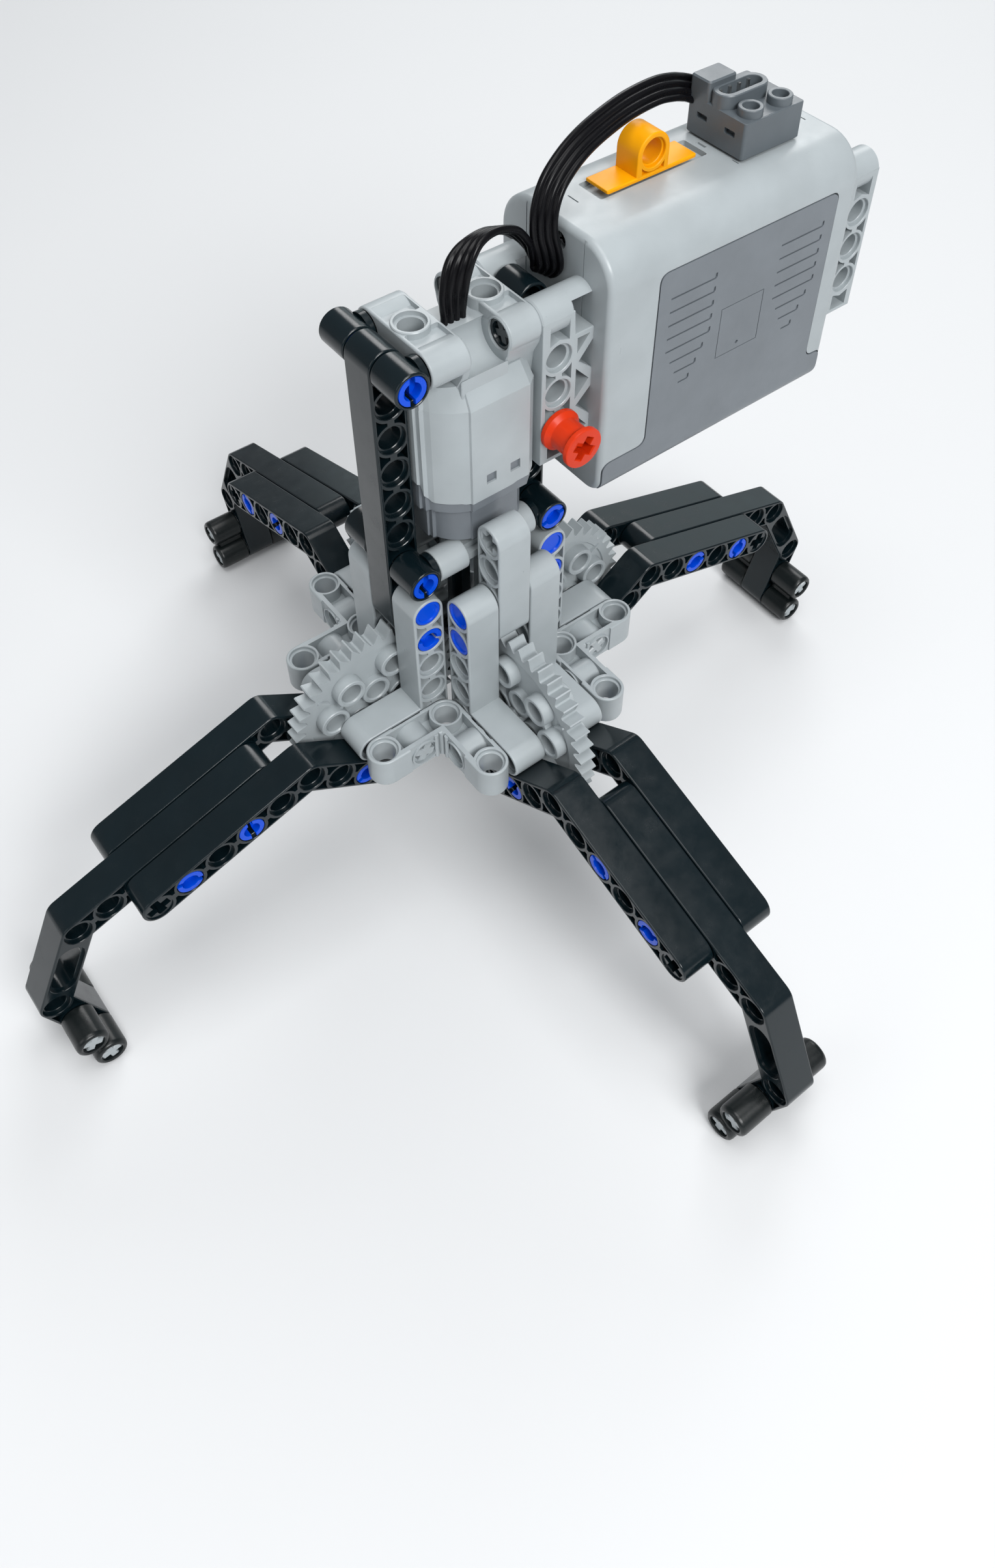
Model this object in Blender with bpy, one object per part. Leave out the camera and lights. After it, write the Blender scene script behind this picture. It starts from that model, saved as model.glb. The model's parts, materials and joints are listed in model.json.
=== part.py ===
"""Four-legged walking robot built of plastic beams, pins, gears, a motor and a battery box.

A vertical worm at the centre turns four 40-tooth gears. Each gear carries a leg, so all four
legs swing up and down together. The X axis points along leg a, which faces away from the
battery box, the Y axis along leg b, and Z up. The floor under the feet is z = 0 and the worm
stands on the Z axis.
"""

import math

import bmesh
import bpy
from mathutils import Matrix, Vector
from mathutils.geometry import tessellate_polygon

MM = 0.001

# Driving dimensions
PITCH = 8.0 * MM              # distance between neighbouring holes
GAP = 0.3 * MM                # space kept between pieces that touch
BEAM_WIDTH = 7.0 * MM
BEAM_THICKNESS = 7.6 * MM
HOLE_RADIUS = 2.6 * MM
AXLE_RADIUS = 2.1 * MM
PIN_RADIUS = 2.15 * MM
TUBE_RADIUS = 3.6 * MM
HOLE_SIDES = 8
CAP_STEPS = 4                 # straight pieces in the half circle at a beam's end

GEAR_RADIAL = 3.0             # gear axle's distance from the worm, in pitches
LEG_DROOP = math.radians(1.3) # rest angle of the legs below their square position
FOOT_RADIUS = 3.7 * MM

TOOTH_COUNT = 40
GEAR_MODULE = 1.0 * MM
GEAR_RADIUS = TOOTH_COUNT * GEAR_MODULE / 2
TOOTH_THICKNESS = 1.15 * MM   # on the pitch circle, thinned for free running
PRESSURE_SLOPE = math.tan(math.radians(20.0))
GEAR_HALF_WIDTH = 2.0 * MM

WORM_RADIUS = GEAR_RADIAL * PITCH - GEAR_RADIUS
WORM_LEAD = math.pi * GEAR_MODULE
WORM_HALF_LENGTH = 7.8 * MM
THREAD_THICKNESS = 0.8 * MM   # on the worm's pitch radius
THREAD_CREST = 0.75 * MM      # height of the thread above the pitch radius
THREAD_ROOT = 1.35 * MM       # depth of the thread below the pitch radius
THREAD_STEPS = 16             # sections per turn

# Legs, seen from the side: x outward from the gear's centre, z up, in pitches
LONG_ARM = Vector((0.96, -0.28))
SHORT_ARM = Vector((-0.8, -0.6))
SHIN = Vector((-0.28, -0.96))
LEG_CORNER = Vector((2.9, 0.3))
KNEE = LEG_CORNER + 7 * LONG_ARM
ANKLE = KNEE + 2 * LONG_ARM + 2 * SHIN
TOE = ANKLE + 2 * SHIN

# Heights above the gear axles and places of the upper parts, in pitches
UPRIGHT_X = 2.0
UPRIGHT_BOTTOM = 3.0
UPRIGHT_TOP = 11.0
JOINER_Z = 5.0
MOTOR_HALF_WIDTH = 11.9 * MM
MOTOR_BOTTOM = 5.52
MOTOR_SPLIT = 6.88
MOTOR_SHOULDER = 9.7
MOTOR_SHOULDER_TOP = 10.35
MOTOR_TOP = 11.3
BOX_NEAR = -3.0
BOX_FAR = -11.0
BOX_BOTTOM = 5.5
BOX_TOP = 12.5
BOX_HALF_WIDTH = 2.0
LUG_REACH = 1.5
LID_DEPTH = 1.6 * MM
SWITCH_X = -5.85
SWITCH_Y = -0.34
PLUG_X = -8.84
PLUG_Y = -0.08

# Cable from the motor's top to the plug: hand-placed points of its centre line, in pitches
CABLE_ROUTE = [
    (0.00, 0.20, 11.36),
    (-0.02, 0.22, 11.95),
    (-0.22, 0.18, 12.50),
    (-0.64, 0.08, 12.80),
    (-1.19, -0.02, 12.83),
    (-1.75, -0.10, 12.60),
    (-2.16, -0.18, 12.20),
    (-2.44, -0.26, 11.80),
    (-2.66, -0.30, 11.45),
    (-2.72, -0.06, 11.20),
    (-2.72, 0.18, 11.45),
    (-2.64, 0.22, 11.85),
    (-2.55, 0.17, 12.31),
    (-2.60, 0.10, 12.83),
    (-2.87, 0.00, 13.31),
    (-3.37, -0.15, 13.63),
    (-4.00, -0.32, 13.84),
    (-4.76, -0.50, 13.96),
    (-5.63, -0.68, 14.02),
    (-6.57, -0.85, 13.97),
    (-7.24, -0.98, 13.81),
    (-7.74, -1.10, 13.61),
]
CABLE_RADIUS = 1.4 * MM
CABLE_POINTS = 42


def turned(point, angle):
    """A side-view point turned downward about the gear's centre."""
    cosine, sine = math.cos(angle), math.sin(angle)
    return Vector((point.x * cosine + point.y * sine, point.y * cosine - point.x * sine))


AXLE_HEIGHT = FOOT_RADIUS - turned(TOE, LEG_DROOP).y * PITCH


# ---------------------------------------------------------------- materials

def plastic(name, colour, roughness):
    material = bpy.data.materials.new(name)
    material.use_nodes = True
    shader = material.node_tree.nodes["Principled BSDF"]
    shader.inputs["Base Color"].default_value = (*colour, 1.0)
    shader.inputs["Roughness"].default_value = roughness
    shader.inputs["Metallic"].default_value = 0.0
    return material


# ---------------------------------------------------------------- outlines

def circle(centre, radius, sides=HOLE_SIDES):
    step = 2 * math.pi / sides
    return [
        Vector((centre[0] + radius * math.cos((i + 0.5) * step),
                centre[1] + radius * math.sin((i + 0.5) * step)))
        for i in range(sides)
    ]


def arc(centre, radius, start, sweep, steps):
    return [
        Vector((centre[0] + radius * math.cos(start + sweep * i / steps),
                centre[1] + radius * math.sin(start + sweep * i / steps)))
        for i in range(steps + 1)
    ]


def side_of_path(points, radius):
    """Left side of a path, with arcs outside its bends and a half circle at its end."""
    edge = []
    for i in range(1, len(points)):
        here = Vector(points[i])
        heading = (here - Vector(points[i - 1])).normalized()
        normal = Vector((heading.y, -heading.x))
        start = math.atan2(normal.y, normal.x)
        if i == len(points) - 1:
            edge += arc(here, radius, start, math.pi, CAP_STEPS)
            continue
        following = (Vector(points[i + 1]) - here).normalized()
        bend = math.atan2(heading.cross(following), heading.dot(following))
        if bend > 0:
            edge += arc(here, radius, start, bend, 2)
        else:
            inside = normal + Vector((following.y, -following.x))
            edge.append(here + inside.normalized() * radius / math.cos(bend / 2))
    return edge


def path_outline(points, radius):
    """Outline of a beam of constant width with round ends, along a path."""
    return side_of_path(points, radius) + side_of_path(points[::-1], radius)


def rounded_box(low, high, radii, steps=3):
    """Rectangle with its own corner radius at each corner, from the lower left, anticlockwise."""
    outline = []
    corners = [(low[0], low[1]), (high[0], low[1]), (high[0], high[1]), (low[0], high[1])]
    inward = [(1, 1), (-1, 1), (-1, -1), (1, -1)]
    for i, radius in enumerate(radii):
        centre = (corners[i][0] + inward[i][0] * radius, corners[i][1] + inward[i][1] * radius)
        outline += arc(centre, radius, math.pi + i * math.pi / 2, math.pi / 2, steps)
    return outline


def stations(points):
    """Hole places one pitch apart along each straight run of a path."""
    places = []
    for first, last in zip(points, points[1:]):
        first, last = Vector(first), Vector(last)
        count = round((last - first).length / PITCH)
        places += [first.lerp(last, i / count) for i in range(count + 1)]
    unique = []
    for place in places:
        if all((place - other).length > PITCH / 4 for other in unique):
            unique.append(place)
    return unique


# ---------------------------------------------------------------- solids

def to_space(point, height, axis):
    if axis == "X":
        return Vector((height, point[0], point[1]))
    if axis == "Y":
        return Vector((point[0], height, point[1]))
    return Vector((point[0], point[1], height))


def extrude_into(mesh, outline, holes, low, high, axis):
    """Adds a flat-ended solid with through holes to a bmesh."""
    rings = [outline] + holes
    lower = [[mesh.verts.new(to_space(p, low, axis)) for p in ring] for ring in rings]
    upper = [[mesh.verts.new(to_space(p, high, axis)) for p in ring] for ring in rings]
    if holes:
        flat = [[Vector((p[0], p[1], 0.0)) for p in ring] for ring in rings]
        pieces = tessellate_polygon(flat)
    else:
        pieces = [range(len(outline))]
    for level in (lower, upper):
        verts = [vert for ring in level for vert in ring]
        for piece in pieces:
            mesh.faces.new([verts[i] for i in piece])
    for bottom, top in zip(lower, upper):
        for i in range(len(bottom)):
            j = (i + 1) % len(bottom)
            mesh.faces.new((bottom[i], bottom[j], top[j], top[i]))


def add_object(name, mesh, material=None, parent=None):
    bmesh.ops.recalc_face_normals(mesh, faces=mesh.faces)
    data = bpy.data.meshes.new(name)
    mesh.to_mesh(data)
    mesh.free()
    data.shade_smooth()
    data.set_sharp_from_angle(angle=math.radians(30.0))
    item = bpy.data.objects.new(name, data)
    bpy.context.collection.objects.link(item)
    item.parent = parent
    if material is not None:
        data.materials.append(material)
    return item


def prism(name, outline, holes, low, high, axis, material=None, parent=None):
    mesh = bmesh.new()
    extrude_into(mesh, outline, holes, low, high, axis)
    return add_object(name, mesh, material, parent)


def rods(name, places, radius, low, high, axis, parent=None, sides=HOLE_SIDES):
    """Separate round rods side by side, used as one drill or one set of axles."""
    mesh = bmesh.new()
    for place in places:
        extrude_into(mesh, circle(place, radius, sides), [], low, high, axis)
    return add_object(name, mesh, None, parent)


def combine(item, tool, operation):
    """Boolean step that stays on the item. The tool is hidden."""
    modifier = item.modifiers.new(operation.title(), "BOOLEAN")
    modifier.operation = operation
    modifier.solver = "EXACT"
    modifier.object = tool
    tool.hide_render = True
    tool.display_type = "WIRE"


def cut(item, tool):
    combine(item, tool, "DIFFERENCE")


def join(item, tool):
    combine(item, tool, "UNION")


def beam(name, points, centre, axis, material, parent, extra_holes=()):
    """Beam along a path in pitches, with a hole at each station."""
    path = [Vector(p) * PITCH for p in points]
    holes = [circle(place, HOLE_RADIUS) for place in stations(path)] + list(extra_holes)
    outline = path_outline(path, BEAM_WIDTH / 2)
    low = centre - BEAM_THICKNESS / 2
    high = centre + BEAM_THICKNESS / 2
    return prism(name, outline, holes, low, high, axis, material, parent)


def empty(name, location, rotation, parent):
    item = bpy.data.objects.new(name, None)
    bpy.context.collection.objects.link(item)
    item.location = location
    item.rotation_euler = rotation
    item.parent = parent
    return item


# ---------------------------------------------------------------- frame

def build_frame(grey, black, robot):
    for index, side in enumerate("abcd"):
        base = empty(f"side_{side}", (0, 0, 0), (0, 0, index * math.pi / 2), robot)
        for layer, end in ((1, "left"), (-1, "right")):
            path = [(4, 0), (2, 0), (2, 4)]
            beam(f"frame_beam_{side}_{end}", path, layer * PITCH, "Y", grey, base)
        corner_connector(f"corner_connector_{side}", grey, base)
    for end, sign in (("front", 1), ("back", -1)):
        path = [(sign * UPRIGHT_X, UPRIGHT_BOTTOM), (sign * UPRIGHT_X, UPRIGHT_TOP)]
        beam(f"upright_beam_{end}", path, 0.0, "Y", black, robot)
    for end, sign in (("near", 1), ("far", -1)):
        beam(f"short_beam_{end}", [(2 * sign, 3), (2 * sign, 6)], 0.0, "X", grey, robot)


def corner_connector(name, grey, base):
    """Square corner with upright holes at its ends, cross holes between, and four pins."""
    path = [Vector(p) * PITCH for p in ((4, 2), (2, 2), (2, 4))]
    body = prism(name, path_outline(path, TUBE_RADIUS), [], -TUBE_RADIUS, TUBE_RADIUS, "Z",
                 grey, base)
    pin_low = PITCH / 2 + GAP * 2
    pin_high = 2 * PITCH - HOLE_RADIUS - GAP
    for axis in "XY":
        pins = rods(f"{name}_pins_{axis}", [(2 * PITCH, 0), (4 * PITCH, 0)], PIN_RADIUS,
                    pin_low, pin_high, axis, base)
        join(body, pins)
        drill = rods(f"{name}_drill_{axis}", [(3 * PITCH, 0)], HOLE_RADIUS, PITCH, 3 * PITCH,
                     axis, base)
        cut(body, drill)
    cut(body, rods(f"{name}_drill_Z", path, HOLE_RADIUS, -PITCH, PITCH, "Z", base))


def joiner(name, place, toward, black, robot):
    """Short cross joiner: a tube along Y with a stub along X toward the middle."""
    x, y, z = (value * PITCH for value in place)
    low, high = sorted((y - math.copysign(3.7 * MM, y), y + math.copysign(3.9 * MM, y)))
    tube = prism(name, circle((x, z), TUBE_RADIUS), [], low, high, "Y", black, robot)
    ends = sorted((x, x + toward * 3.9 * MM))
    stub = rods(f"{name}_stub", [(y, z)], TUBE_RADIUS - 0.2 * MM, ends[0], ends[1], "X", robot)
    join(tube, stub)
    drill = rods(f"{name}_drill", [(x, z)], HOLE_RADIUS, low - PITCH, high + PITCH, "Y", robot)
    cut(tube, drill)


def build_joiners(grey, black, robot):
    for end, y in (("near", 1), ("far", -1)):
        joiner(f"top_joiner_{end}", (UPRIGHT_X, y, UPRIGHT_TOP), -1, black, robot)
        for place, x in (("front", 1), ("back", -1)):
            joiner(f"lower_joiner_{place}_{end}", (x * UPRIGHT_X, y, JOINER_Z), -x, black, robot)
        reach = (UPRIGHT_X * PITCH - 3.9 * MM) - GAP
        prism(f"lower_spacer_{end}", circle((y * PITCH, JOINER_Z * PITCH), TUBE_RADIUS),
              [circle((y * PITCH, JOINER_Z * PITCH), HOLE_RADIUS)],
              -reach, reach, "X", grey, robot)
    for end, x in (("front", 1), ("back", -1)):
        name = f"top_connector_{end}"
        path = [Vector((-1, UPRIGHT_TOP)) * PITCH, Vector((1, UPRIGHT_TOP)) * PITCH]
        centre = x * PITCH
        block = prism(name, path_outline(path, TUBE_RADIUS), [], centre - 3.5 * MM,
                      centre + 3.5 * MM, "X", grey, robot)
        cut(block, rods(f"{name}_cross_drill", path, HOLE_RADIUS, centre - PITCH,
                        centre + PITCH, "X", robot))
        drill = rods(f"{name}_drill", [(centre, 0)], HOLE_RADIUS,
                     (UPRIGHT_TOP - 1) * PITCH, (UPRIGHT_TOP + 1) * PITCH, "Z", robot)
        cut(block, drill)


# ---------------------------------------------------------------- legs and drive

def gear_outline(phase):
    """Toothed outline. A gap points along -x, turned upward by the phase."""
    step = 2 * math.pi / TOOTH_COUNT
    tip = GEAR_RADIUS + GEAR_MODULE
    root = GEAR_RADIUS - 1.25 * GEAR_MODULE
    tip_half = (TOOTH_THICKNESS / 2 - GEAR_MODULE * PRESSURE_SLOPE) / tip
    root_half = (TOOTH_THICKNESS / 2 + 1.25 * GEAR_MODULE * PRESSURE_SLOPE) / root
    outline = []
    for i in range(TOOTH_COUNT):
        middle = math.pi - phase + (i + 0.5) * step
        for radius, offset in ((root, -root_half), (tip, -tip_half), (tip, tip_half),
                               (root, root_half)):
            angle = middle + offset
            outline.append(Vector((radius * math.cos(angle), radius * math.sin(angle))))
    return outline


def gear_holes():
    """Square grid of holes, turned so that two of them meet the leg's short arm."""
    turn = math.acos(0.8)
    halves = [(1.5, 0.5), (0.5, 1.5)]
    places = [Vector((0.0, 0.0))]
    for x, z in halves:
        places += [Vector((i * x, j * z)) for i in (1, -1) for j in (1, -1)]
    turned_places = [turned(place, -turn) * PITCH for place in places]
    return [circle(place, HOLE_RADIUS) for place in turned_places]


def build_gear(name, phase, grey, hinge):
    prism(name, gear_outline(phase), gear_holes(), -GEAR_HALF_WIDTH, GEAR_HALF_WIDTH, "Y",
          grey, hinge)


def build_leg(index, side, grey, black, rubber, robot):
    angle = index * math.pi / 2
    spot = (GEAR_RADIAL * PITCH * math.cos(angle), GEAR_RADIAL * PITCH * math.sin(angle), 0)
    hinge = empty(f"leg_{side}_hinge", spot, (0, LEG_DROOP, angle), robot)
    quarter_tooth = 2 * math.pi / TOOTH_COUNT / 4
    build_gear(f"leg_{side}_gear", index * quarter_tooth - LEG_DROOP, grey, hinge)
    axle_half = 2.45 * PITCH
    prism(f"leg_{side}_gear_axle", circle((0, 0), AXLE_RADIUS), [], -axle_half, axle_half,
          "Y", grey, hinge)
    outer = [LEG_CORNER + 3 * SHORT_ARM, LEG_CORNER, LEG_CORNER + 5 * LONG_ARM]
    for layer, end in ((1, "left"), (-1, "right")):
        beam(f"leg_{side}_outer_beam_{end}", outer, layer * PITCH, "Y", black, hinge)
    middle = [LEG_CORNER + LONG_ARM, KNEE, ANKLE, TOE]
    shin_beam(f"leg_{side}_middle_beam", middle, black, hinge)
    foot(f"leg_{side}_foot", rubber, hinge)


def shin_beam(name, points, black, hinge):
    """Double-bent beam: holes on its two straight arms and a slot in the slanted run."""
    arms = stations([p * PITCH for p in points[:2]]) + stations([p * PITCH for p in points[2:]])
    slot_ends = [KNEE.lerp(ANKLE, 0.33) * PITCH, KNEE.lerp(ANKLE, 0.67) * PITCH]
    holes = [circle(place, HOLE_RADIUS) for place in arms]
    holes.append(path_outline(slot_ends, HOLE_RADIUS))
    outline = path_outline([p * PITCH for p in points], BEAM_WIDTH / 2)
    prism(name, outline, holes, -BEAM_THICKNESS / 2, BEAM_THICKNESS / 2, "Y", black, hinge)


def foot(name, rubber, hinge):
    """Two axles through the shin, with a double rubber sleeve on each side."""
    places = [(ANKLE + SHIN) * PITCH, TOE * PITCH]
    inner = BEAM_THICKNESS / 2 + GAP
    outer = 12.6 * MM
    sleeve = prism(name, path_outline(places, FOOT_RADIUS), [], inner, outer, "Y", rubber, hinge)
    axles = rods(f"{name}_axles", places, AXLE_RADIUS, -outer + MM, outer - MM, "Y", hinge)
    other = prism(f"{name}_other", path_outline(places, FOOT_RADIUS), [], -outer, -inner, "Y",
                  None, hinge)
    join(sleeve, axles)
    join(sleeve, other)


def build_worm(black, robot):
    """Axle with a worm: one thread wound round a core."""
    base = -1.6 * PITCH
    top = MOTOR_BOTTOM * PITCH - GAP
    axle = prism("worm", circle((0, 0), AXLE_RADIUS), [], base, top, "Z", black, robot)
    root = WORM_RADIUS - THREAD_ROOT
    core = rods("worm_core", [(0, 0)], root + 0.05 * MM, -WORM_HALF_LENGTH, WORM_HALF_LENGTH,
                "Z", robot, sides=THREAD_STEPS)
    join(axle, core)
    crest = WORM_RADIUS + THREAD_CREST
    low_half = THREAD_THICKNESS / 2 + THREAD_ROOT * PRESSURE_SLOPE
    high_half = THREAD_THICKNESS / 2 - THREAD_CREST * PRESSURE_SLOPE
    inner = root - 0.3 * MM
    section = [(inner, -low_half), (crest, -high_half), (crest, high_half), (inner, low_half)]
    turns = 2 * (WORM_HALF_LENGTH - low_half) / WORM_LEAD
    count = int(turns * THREAD_STEPS)
    mesh = bmesh.new()
    rows = []
    for i in range(count + 1):
        turn = (i - count // 2) / THREAD_STEPS
        angle = turn * 2 * math.pi
        rows.append([
            mesh.verts.new((r * math.cos(angle), r * math.sin(angle), turn * WORM_LEAD + z))
            for r, z in section
        ])
    for row, following in zip(rows, rows[1:]):
        for j in range(4):
            k = (j + 1) % 4
            mesh.faces.new((row[j], row[k], following[k], following[j]))
    mesh.faces.new(rows[0])
    mesh.faces.new(rows[-1][::-1])
    join(axle, add_object("worm_thread", mesh, None, robot))


# ---------------------------------------------------------------- motor

def case_outline(scale):
    """Cross-section of the motor: wide flats on the Y sides and slanted facets between."""
    half = MOTOR_HALF_WIDTH * scale
    quarter = [(half, 0.40 * half), (0.86 * half, 0.66 * half), (0.34 * half, half)]
    points = quarter + [(-0.85 * half, half), (-half, 0.72 * half)]
    points += [(-x, -y) for x, y in points]
    return [Vector(point) for point in points]


def build_motor(grey, dark, robot):
    base = [Vector((x * 0.93, y * 0.93)) for x, y in case_outline(1.0)]
    prism("motor_base", base, [], MOTOR_BOTTOM * PITCH, MOTOR_SPLIT * PITCH - GAP, "Z",
          dark, robot)
    mesh = bmesh.new()
    levels = [(MOTOR_SPLIT, 1.0), (MOTOR_SHOULDER, 1.0), (MOTOR_SHOULDER_TOP, 0.78)]
    rings = [
        [mesh.verts.new((p.x, p.y, level * PITCH)) for p in case_outline(scale)]
        for level, scale in levels
    ]
    mesh.faces.new(rings[0])
    mesh.faces.new(rings[-1])
    for lower, upper in zip(rings, rings[1:]):
        for i in range(len(lower)):
            j = (i + 1) % len(lower)
            mesh.faces.new((lower[i], lower[j], upper[j], upper[i]))
    case = add_object("motor_case", mesh, grey, robot)
    neck = rounded_box((-4.0 * MM, -9.0 * MM), (4.0 * MM, 9.0 * MM), [1.5 * MM] * 4, 2)
    join(case, prism("motor_neck", neck, [], MOTOR_SHOULDER * PITCH, MOTOR_TOP * PITCH, "Z",
                     None, robot))


# ---------------------------------------------------------------- battery box

def lid_outline(grow):
    """Lid on the box's side: it narrows upward and its lowest strip runs to both ends."""
    near, far = BOX_NEAR * PITCH, BOX_FAR * PITCH
    bottom = BOX_BOTTOM * PITCH
    strip = 6.5 * PITCH
    top = 11.4 * PITCH
    points = [
        (near + PITCH, bottom - PITCH),
        (near + PITCH, strip + grow),
        (-4.15 * PITCH + grow, strip + grow),
        (-4.6 * PITCH + grow, top + grow),
        (-10.25 * PITCH - grow, top + grow),
        (-10.6 * PITCH - grow, strip + grow),
        (far - PITCH, strip + grow),
        (far - PITCH, bottom - PITCH),
    ]
    return [Vector(point) for point in points]


def box_section(grow):
    half = BOX_HALF_WIDTH * PITCH
    return rounded_box((-half - grow, BOX_BOTTOM * PITCH - grow), (half + grow, BOX_TOP * PITCH),
                       [4.0 * MM, 4.0 * MM, 8.5 * MM, 8.5 * MM], 4)


def build_battery_box(grey, dark, robot):
    near, far = BOX_NEAR * PITCH, BOX_FAR * PITCH
    box = prism("battery_box", box_section(0.0), [], far, near, "X", grey, robot)
    half = 3.8 * MM
    lug_bottom = 7.0 * PITCH
    lug_top = UPRIGHT_TOP * PITCH
    side_places = {"near": PITCH, "far": -PITCH}
    for end, y in side_places.items():
        outline = arc((y, lug_top), half, 0.0, math.pi, CAP_STEPS)
        outline += [Vector((y - half, lug_bottom)), Vector((y + half, lug_bottom))]
        for place, ends in (("front", (near - PITCH, near + LUG_REACH * PITCH)),
                            ("back", (far - LUG_REACH * PITCH, far + PITCH))):
            join(box, prism(f"lug_{place}_{end}", outline, [], ends[0], ends[1], "X", None, robot))
    places = [Vector((x, z)) * PITCH for x in (-2, -12) for z in (8, 9, 10)]
    cut(box, rods("lug_drill", places, HOLE_RADIUS, -3 * PITCH, 3 * PITCH, "Y", robot))
    for end, sign in (("near", 1), ("far", -1)):
        side = BOX_HALF_WIDTH * PITCH
        floor = side - LID_DEPTH
        low, high = sorted((sign * floor, sign * (side + PITCH)))
        cut(box, prism(f"lid_recess_{end}", lid_outline(0.0), [], low, high, "Y", None, robot))
        low, high = sorted((sign * (floor + GAP), sign * (side + PITCH)))
        lid = prism(f"battery_lid_{end}", lid_outline(-GAP), [], low, high, "Y", dark, robot)
        shell = prism(f"lid_trim_{end}", box_section(0.0), [], far + GAP, near - GAP, "X",
                      None, robot)
        combine(lid, shell, "INTERSECT")


def build_switch(orange, robot):
    """Sliding plate with an upright ear that has a pin hole."""
    pivot = (SWITCH_X * PITCH, SWITCH_Y * PITCH, BOX_TOP * PITCH)
    hinge = empty("switch_slide", pivot, (0, 0, 0), robot)
    half = 3.1 * MM
    length = 11.0 * MM
    base_top = 1.0 * MM
    ear_z = 4.8 * MM
    ear_half = 3.85 * MM
    outline = [Vector((-length, GAP)), Vector((length, GAP)), Vector((length, base_top)),
               Vector((ear_half, base_top))]
    outline += arc((0, ear_z), ear_half, 0.0, math.pi, CAP_STEPS)
    outline += [Vector((-ear_half, base_top)), Vector((-length, base_top))]
    prism("power_switch", outline, [circle((0, ear_z), HOLE_RADIUS)], -half, half, "Y",
          orange, hinge)


def build_plug(dark, robot):
    """Two-by-two electric plug with the cable's raised block at one corner."""
    half = 7.75 * MM
    bottom = BOX_TOP * PITCH + GAP
    top = 13.46 * PITCH
    x, y = PLUG_X * PITCH, PLUG_Y * PITCH
    square = rounded_box((x - half, y - half), (x + half, y + half), [0.6 * MM] * 4, 1)
    plug = prism("plug", square, [], bottom, top, "Z", dark, robot)
    block = rounded_box((x + 0.5 * MM, y - half), (x + half, y - 3.0 * MM), [0.6 * MM] * 4, 1)
    join(plug, prism("plug_block", block, [], top - MM, 13.9 * PITCH, "Z", None, robot))


def build_bush(red, robot):
    """Flanged bush beside the lug, on the cross axle in the lug's lowest hole."""
    x, z = -2 * PITCH, 8 * PITCH
    start, end = 12.3 * MM, 20.0 * MM
    flange = 1.3 * MM
    profile = [(AXLE_RADIUS, start), (4.4 * MM, start), (4.4 * MM, start + flange),
               (3.4 * MM, start + 1.7 * flange), (3.4 * MM, end - 1.7 * flange),
               (4.4 * MM, end - flange), (4.4 * MM, end), (AXLE_RADIUS, end)]
    sides = 16
    mesh = bmesh.new()
    rings = []
    for i in range(sides):
        angle = 2 * math.pi * i / sides
        rings.append([mesh.verts.new((x + r * math.cos(angle), y, z + r * math.sin(angle)))
                      for r, y in profile])
    for i in range(sides):
        ring, following = rings[i], rings[(i + 1) % sides]
        for j in range(len(profile)):
            k = (j + 1) % len(profile)
            mesh.faces.new((ring[j], ring[k], following[k], following[j]))
    add_object("red_bush", mesh, red, robot)


# ---------------------------------------------------------------- cable

def smooth_route(points, count):
    """Even points on a Catmull-Rom curve through the route's own points."""
    route = [Vector(point) * PITCH for point in points]
    padded = [2 * route[0] - route[1]] + route + [2 * route[-1] - route[-2]]
    fine = []
    for i in range(len(route) - 1):
        p0, p1, p2, p3 = padded[i:i + 4]
        for step in range(20):
            t = step / 20
            fine.append(0.5 * (2 * p1 + (p2 - p0) * t + (2 * p0 - 5 * p1 + 4 * p2 - p3) * t * t
                               + (3 * p1 - 3 * p2 + p3 - p0) * t ** 3))
    fine.append(route[-1])
    lengths = [0.0]
    for first, last in zip(fine, fine[1:]):
        lengths.append(lengths[-1] + (last - first).length)
    even = []
    index = 0
    for i in range(count):
        target = lengths[-1] * i / (count - 1)
        while index < len(fine) - 2 and lengths[index + 1] < target:
            index += 1
        span = lengths[index + 1] - lengths[index]
        even.append(fine[index].lerp(fine[index + 1], (target - lengths[index]) / span))
    return even


def build_cable(black, robot):
    curve = bpy.data.curves.new("cable", "CURVE")
    curve.dimensions = "3D"
    curve.bevel_depth = CABLE_RADIUS
    curve.bevel_resolution = 2
    curve.use_fill_caps = True
    points = smooth_route(CABLE_ROUTE, CABLE_POINTS)
    spline = curve.splines.new("POLY")
    spline.points.add(len(points) - 1)
    for target, point in zip(spline.points, points):
        target.co = (*point, 1.0)
    curve.materials.append(black)
    item = bpy.data.objects.new("cable", curve)
    bpy.context.collection.objects.link(item)
    item.parent = robot


def main():
    for item in list(bpy.data.objects):
        bpy.data.objects.remove(item)
    grey = plastic("light_grey_plastic", (0.42, 0.45, 0.47), 0.35)
    dark = plastic("dark_grey_plastic", (0.16, 0.18, 0.20), 0.4)
    black = plastic("black_plastic", (0.02, 0.022, 0.025), 0.3)
    rubber = plastic("black_rubber", (0.018, 0.018, 0.02), 0.6)
    orange = plastic("orange_plastic", (0.9, 0.36, 0.02), 0.35)
    red = plastic("red_plastic", (0.85, 0.1, 0.03), 0.35)
    robot = empty("robot", (0, 0, AXLE_HEIGHT), (0, 0, 0), None)
    build_frame(grey, black, robot)
    build_joiners(grey, black, robot)
    for index, side in enumerate("abcd"):
        build_leg(index, side, grey, black, rubber, robot)
    build_worm(black, robot)
    build_motor(grey, dark, robot)
    build_battery_box(grey, dark, robot)
    build_switch(orange, robot)
    build_plug(dark, robot)
    build_bush(red, robot)
    build_cable(black, robot)


main()
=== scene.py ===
import json
from math import acos, asin, atan2, ceil, copysign, cos, pi, radians, sin, tan

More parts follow.
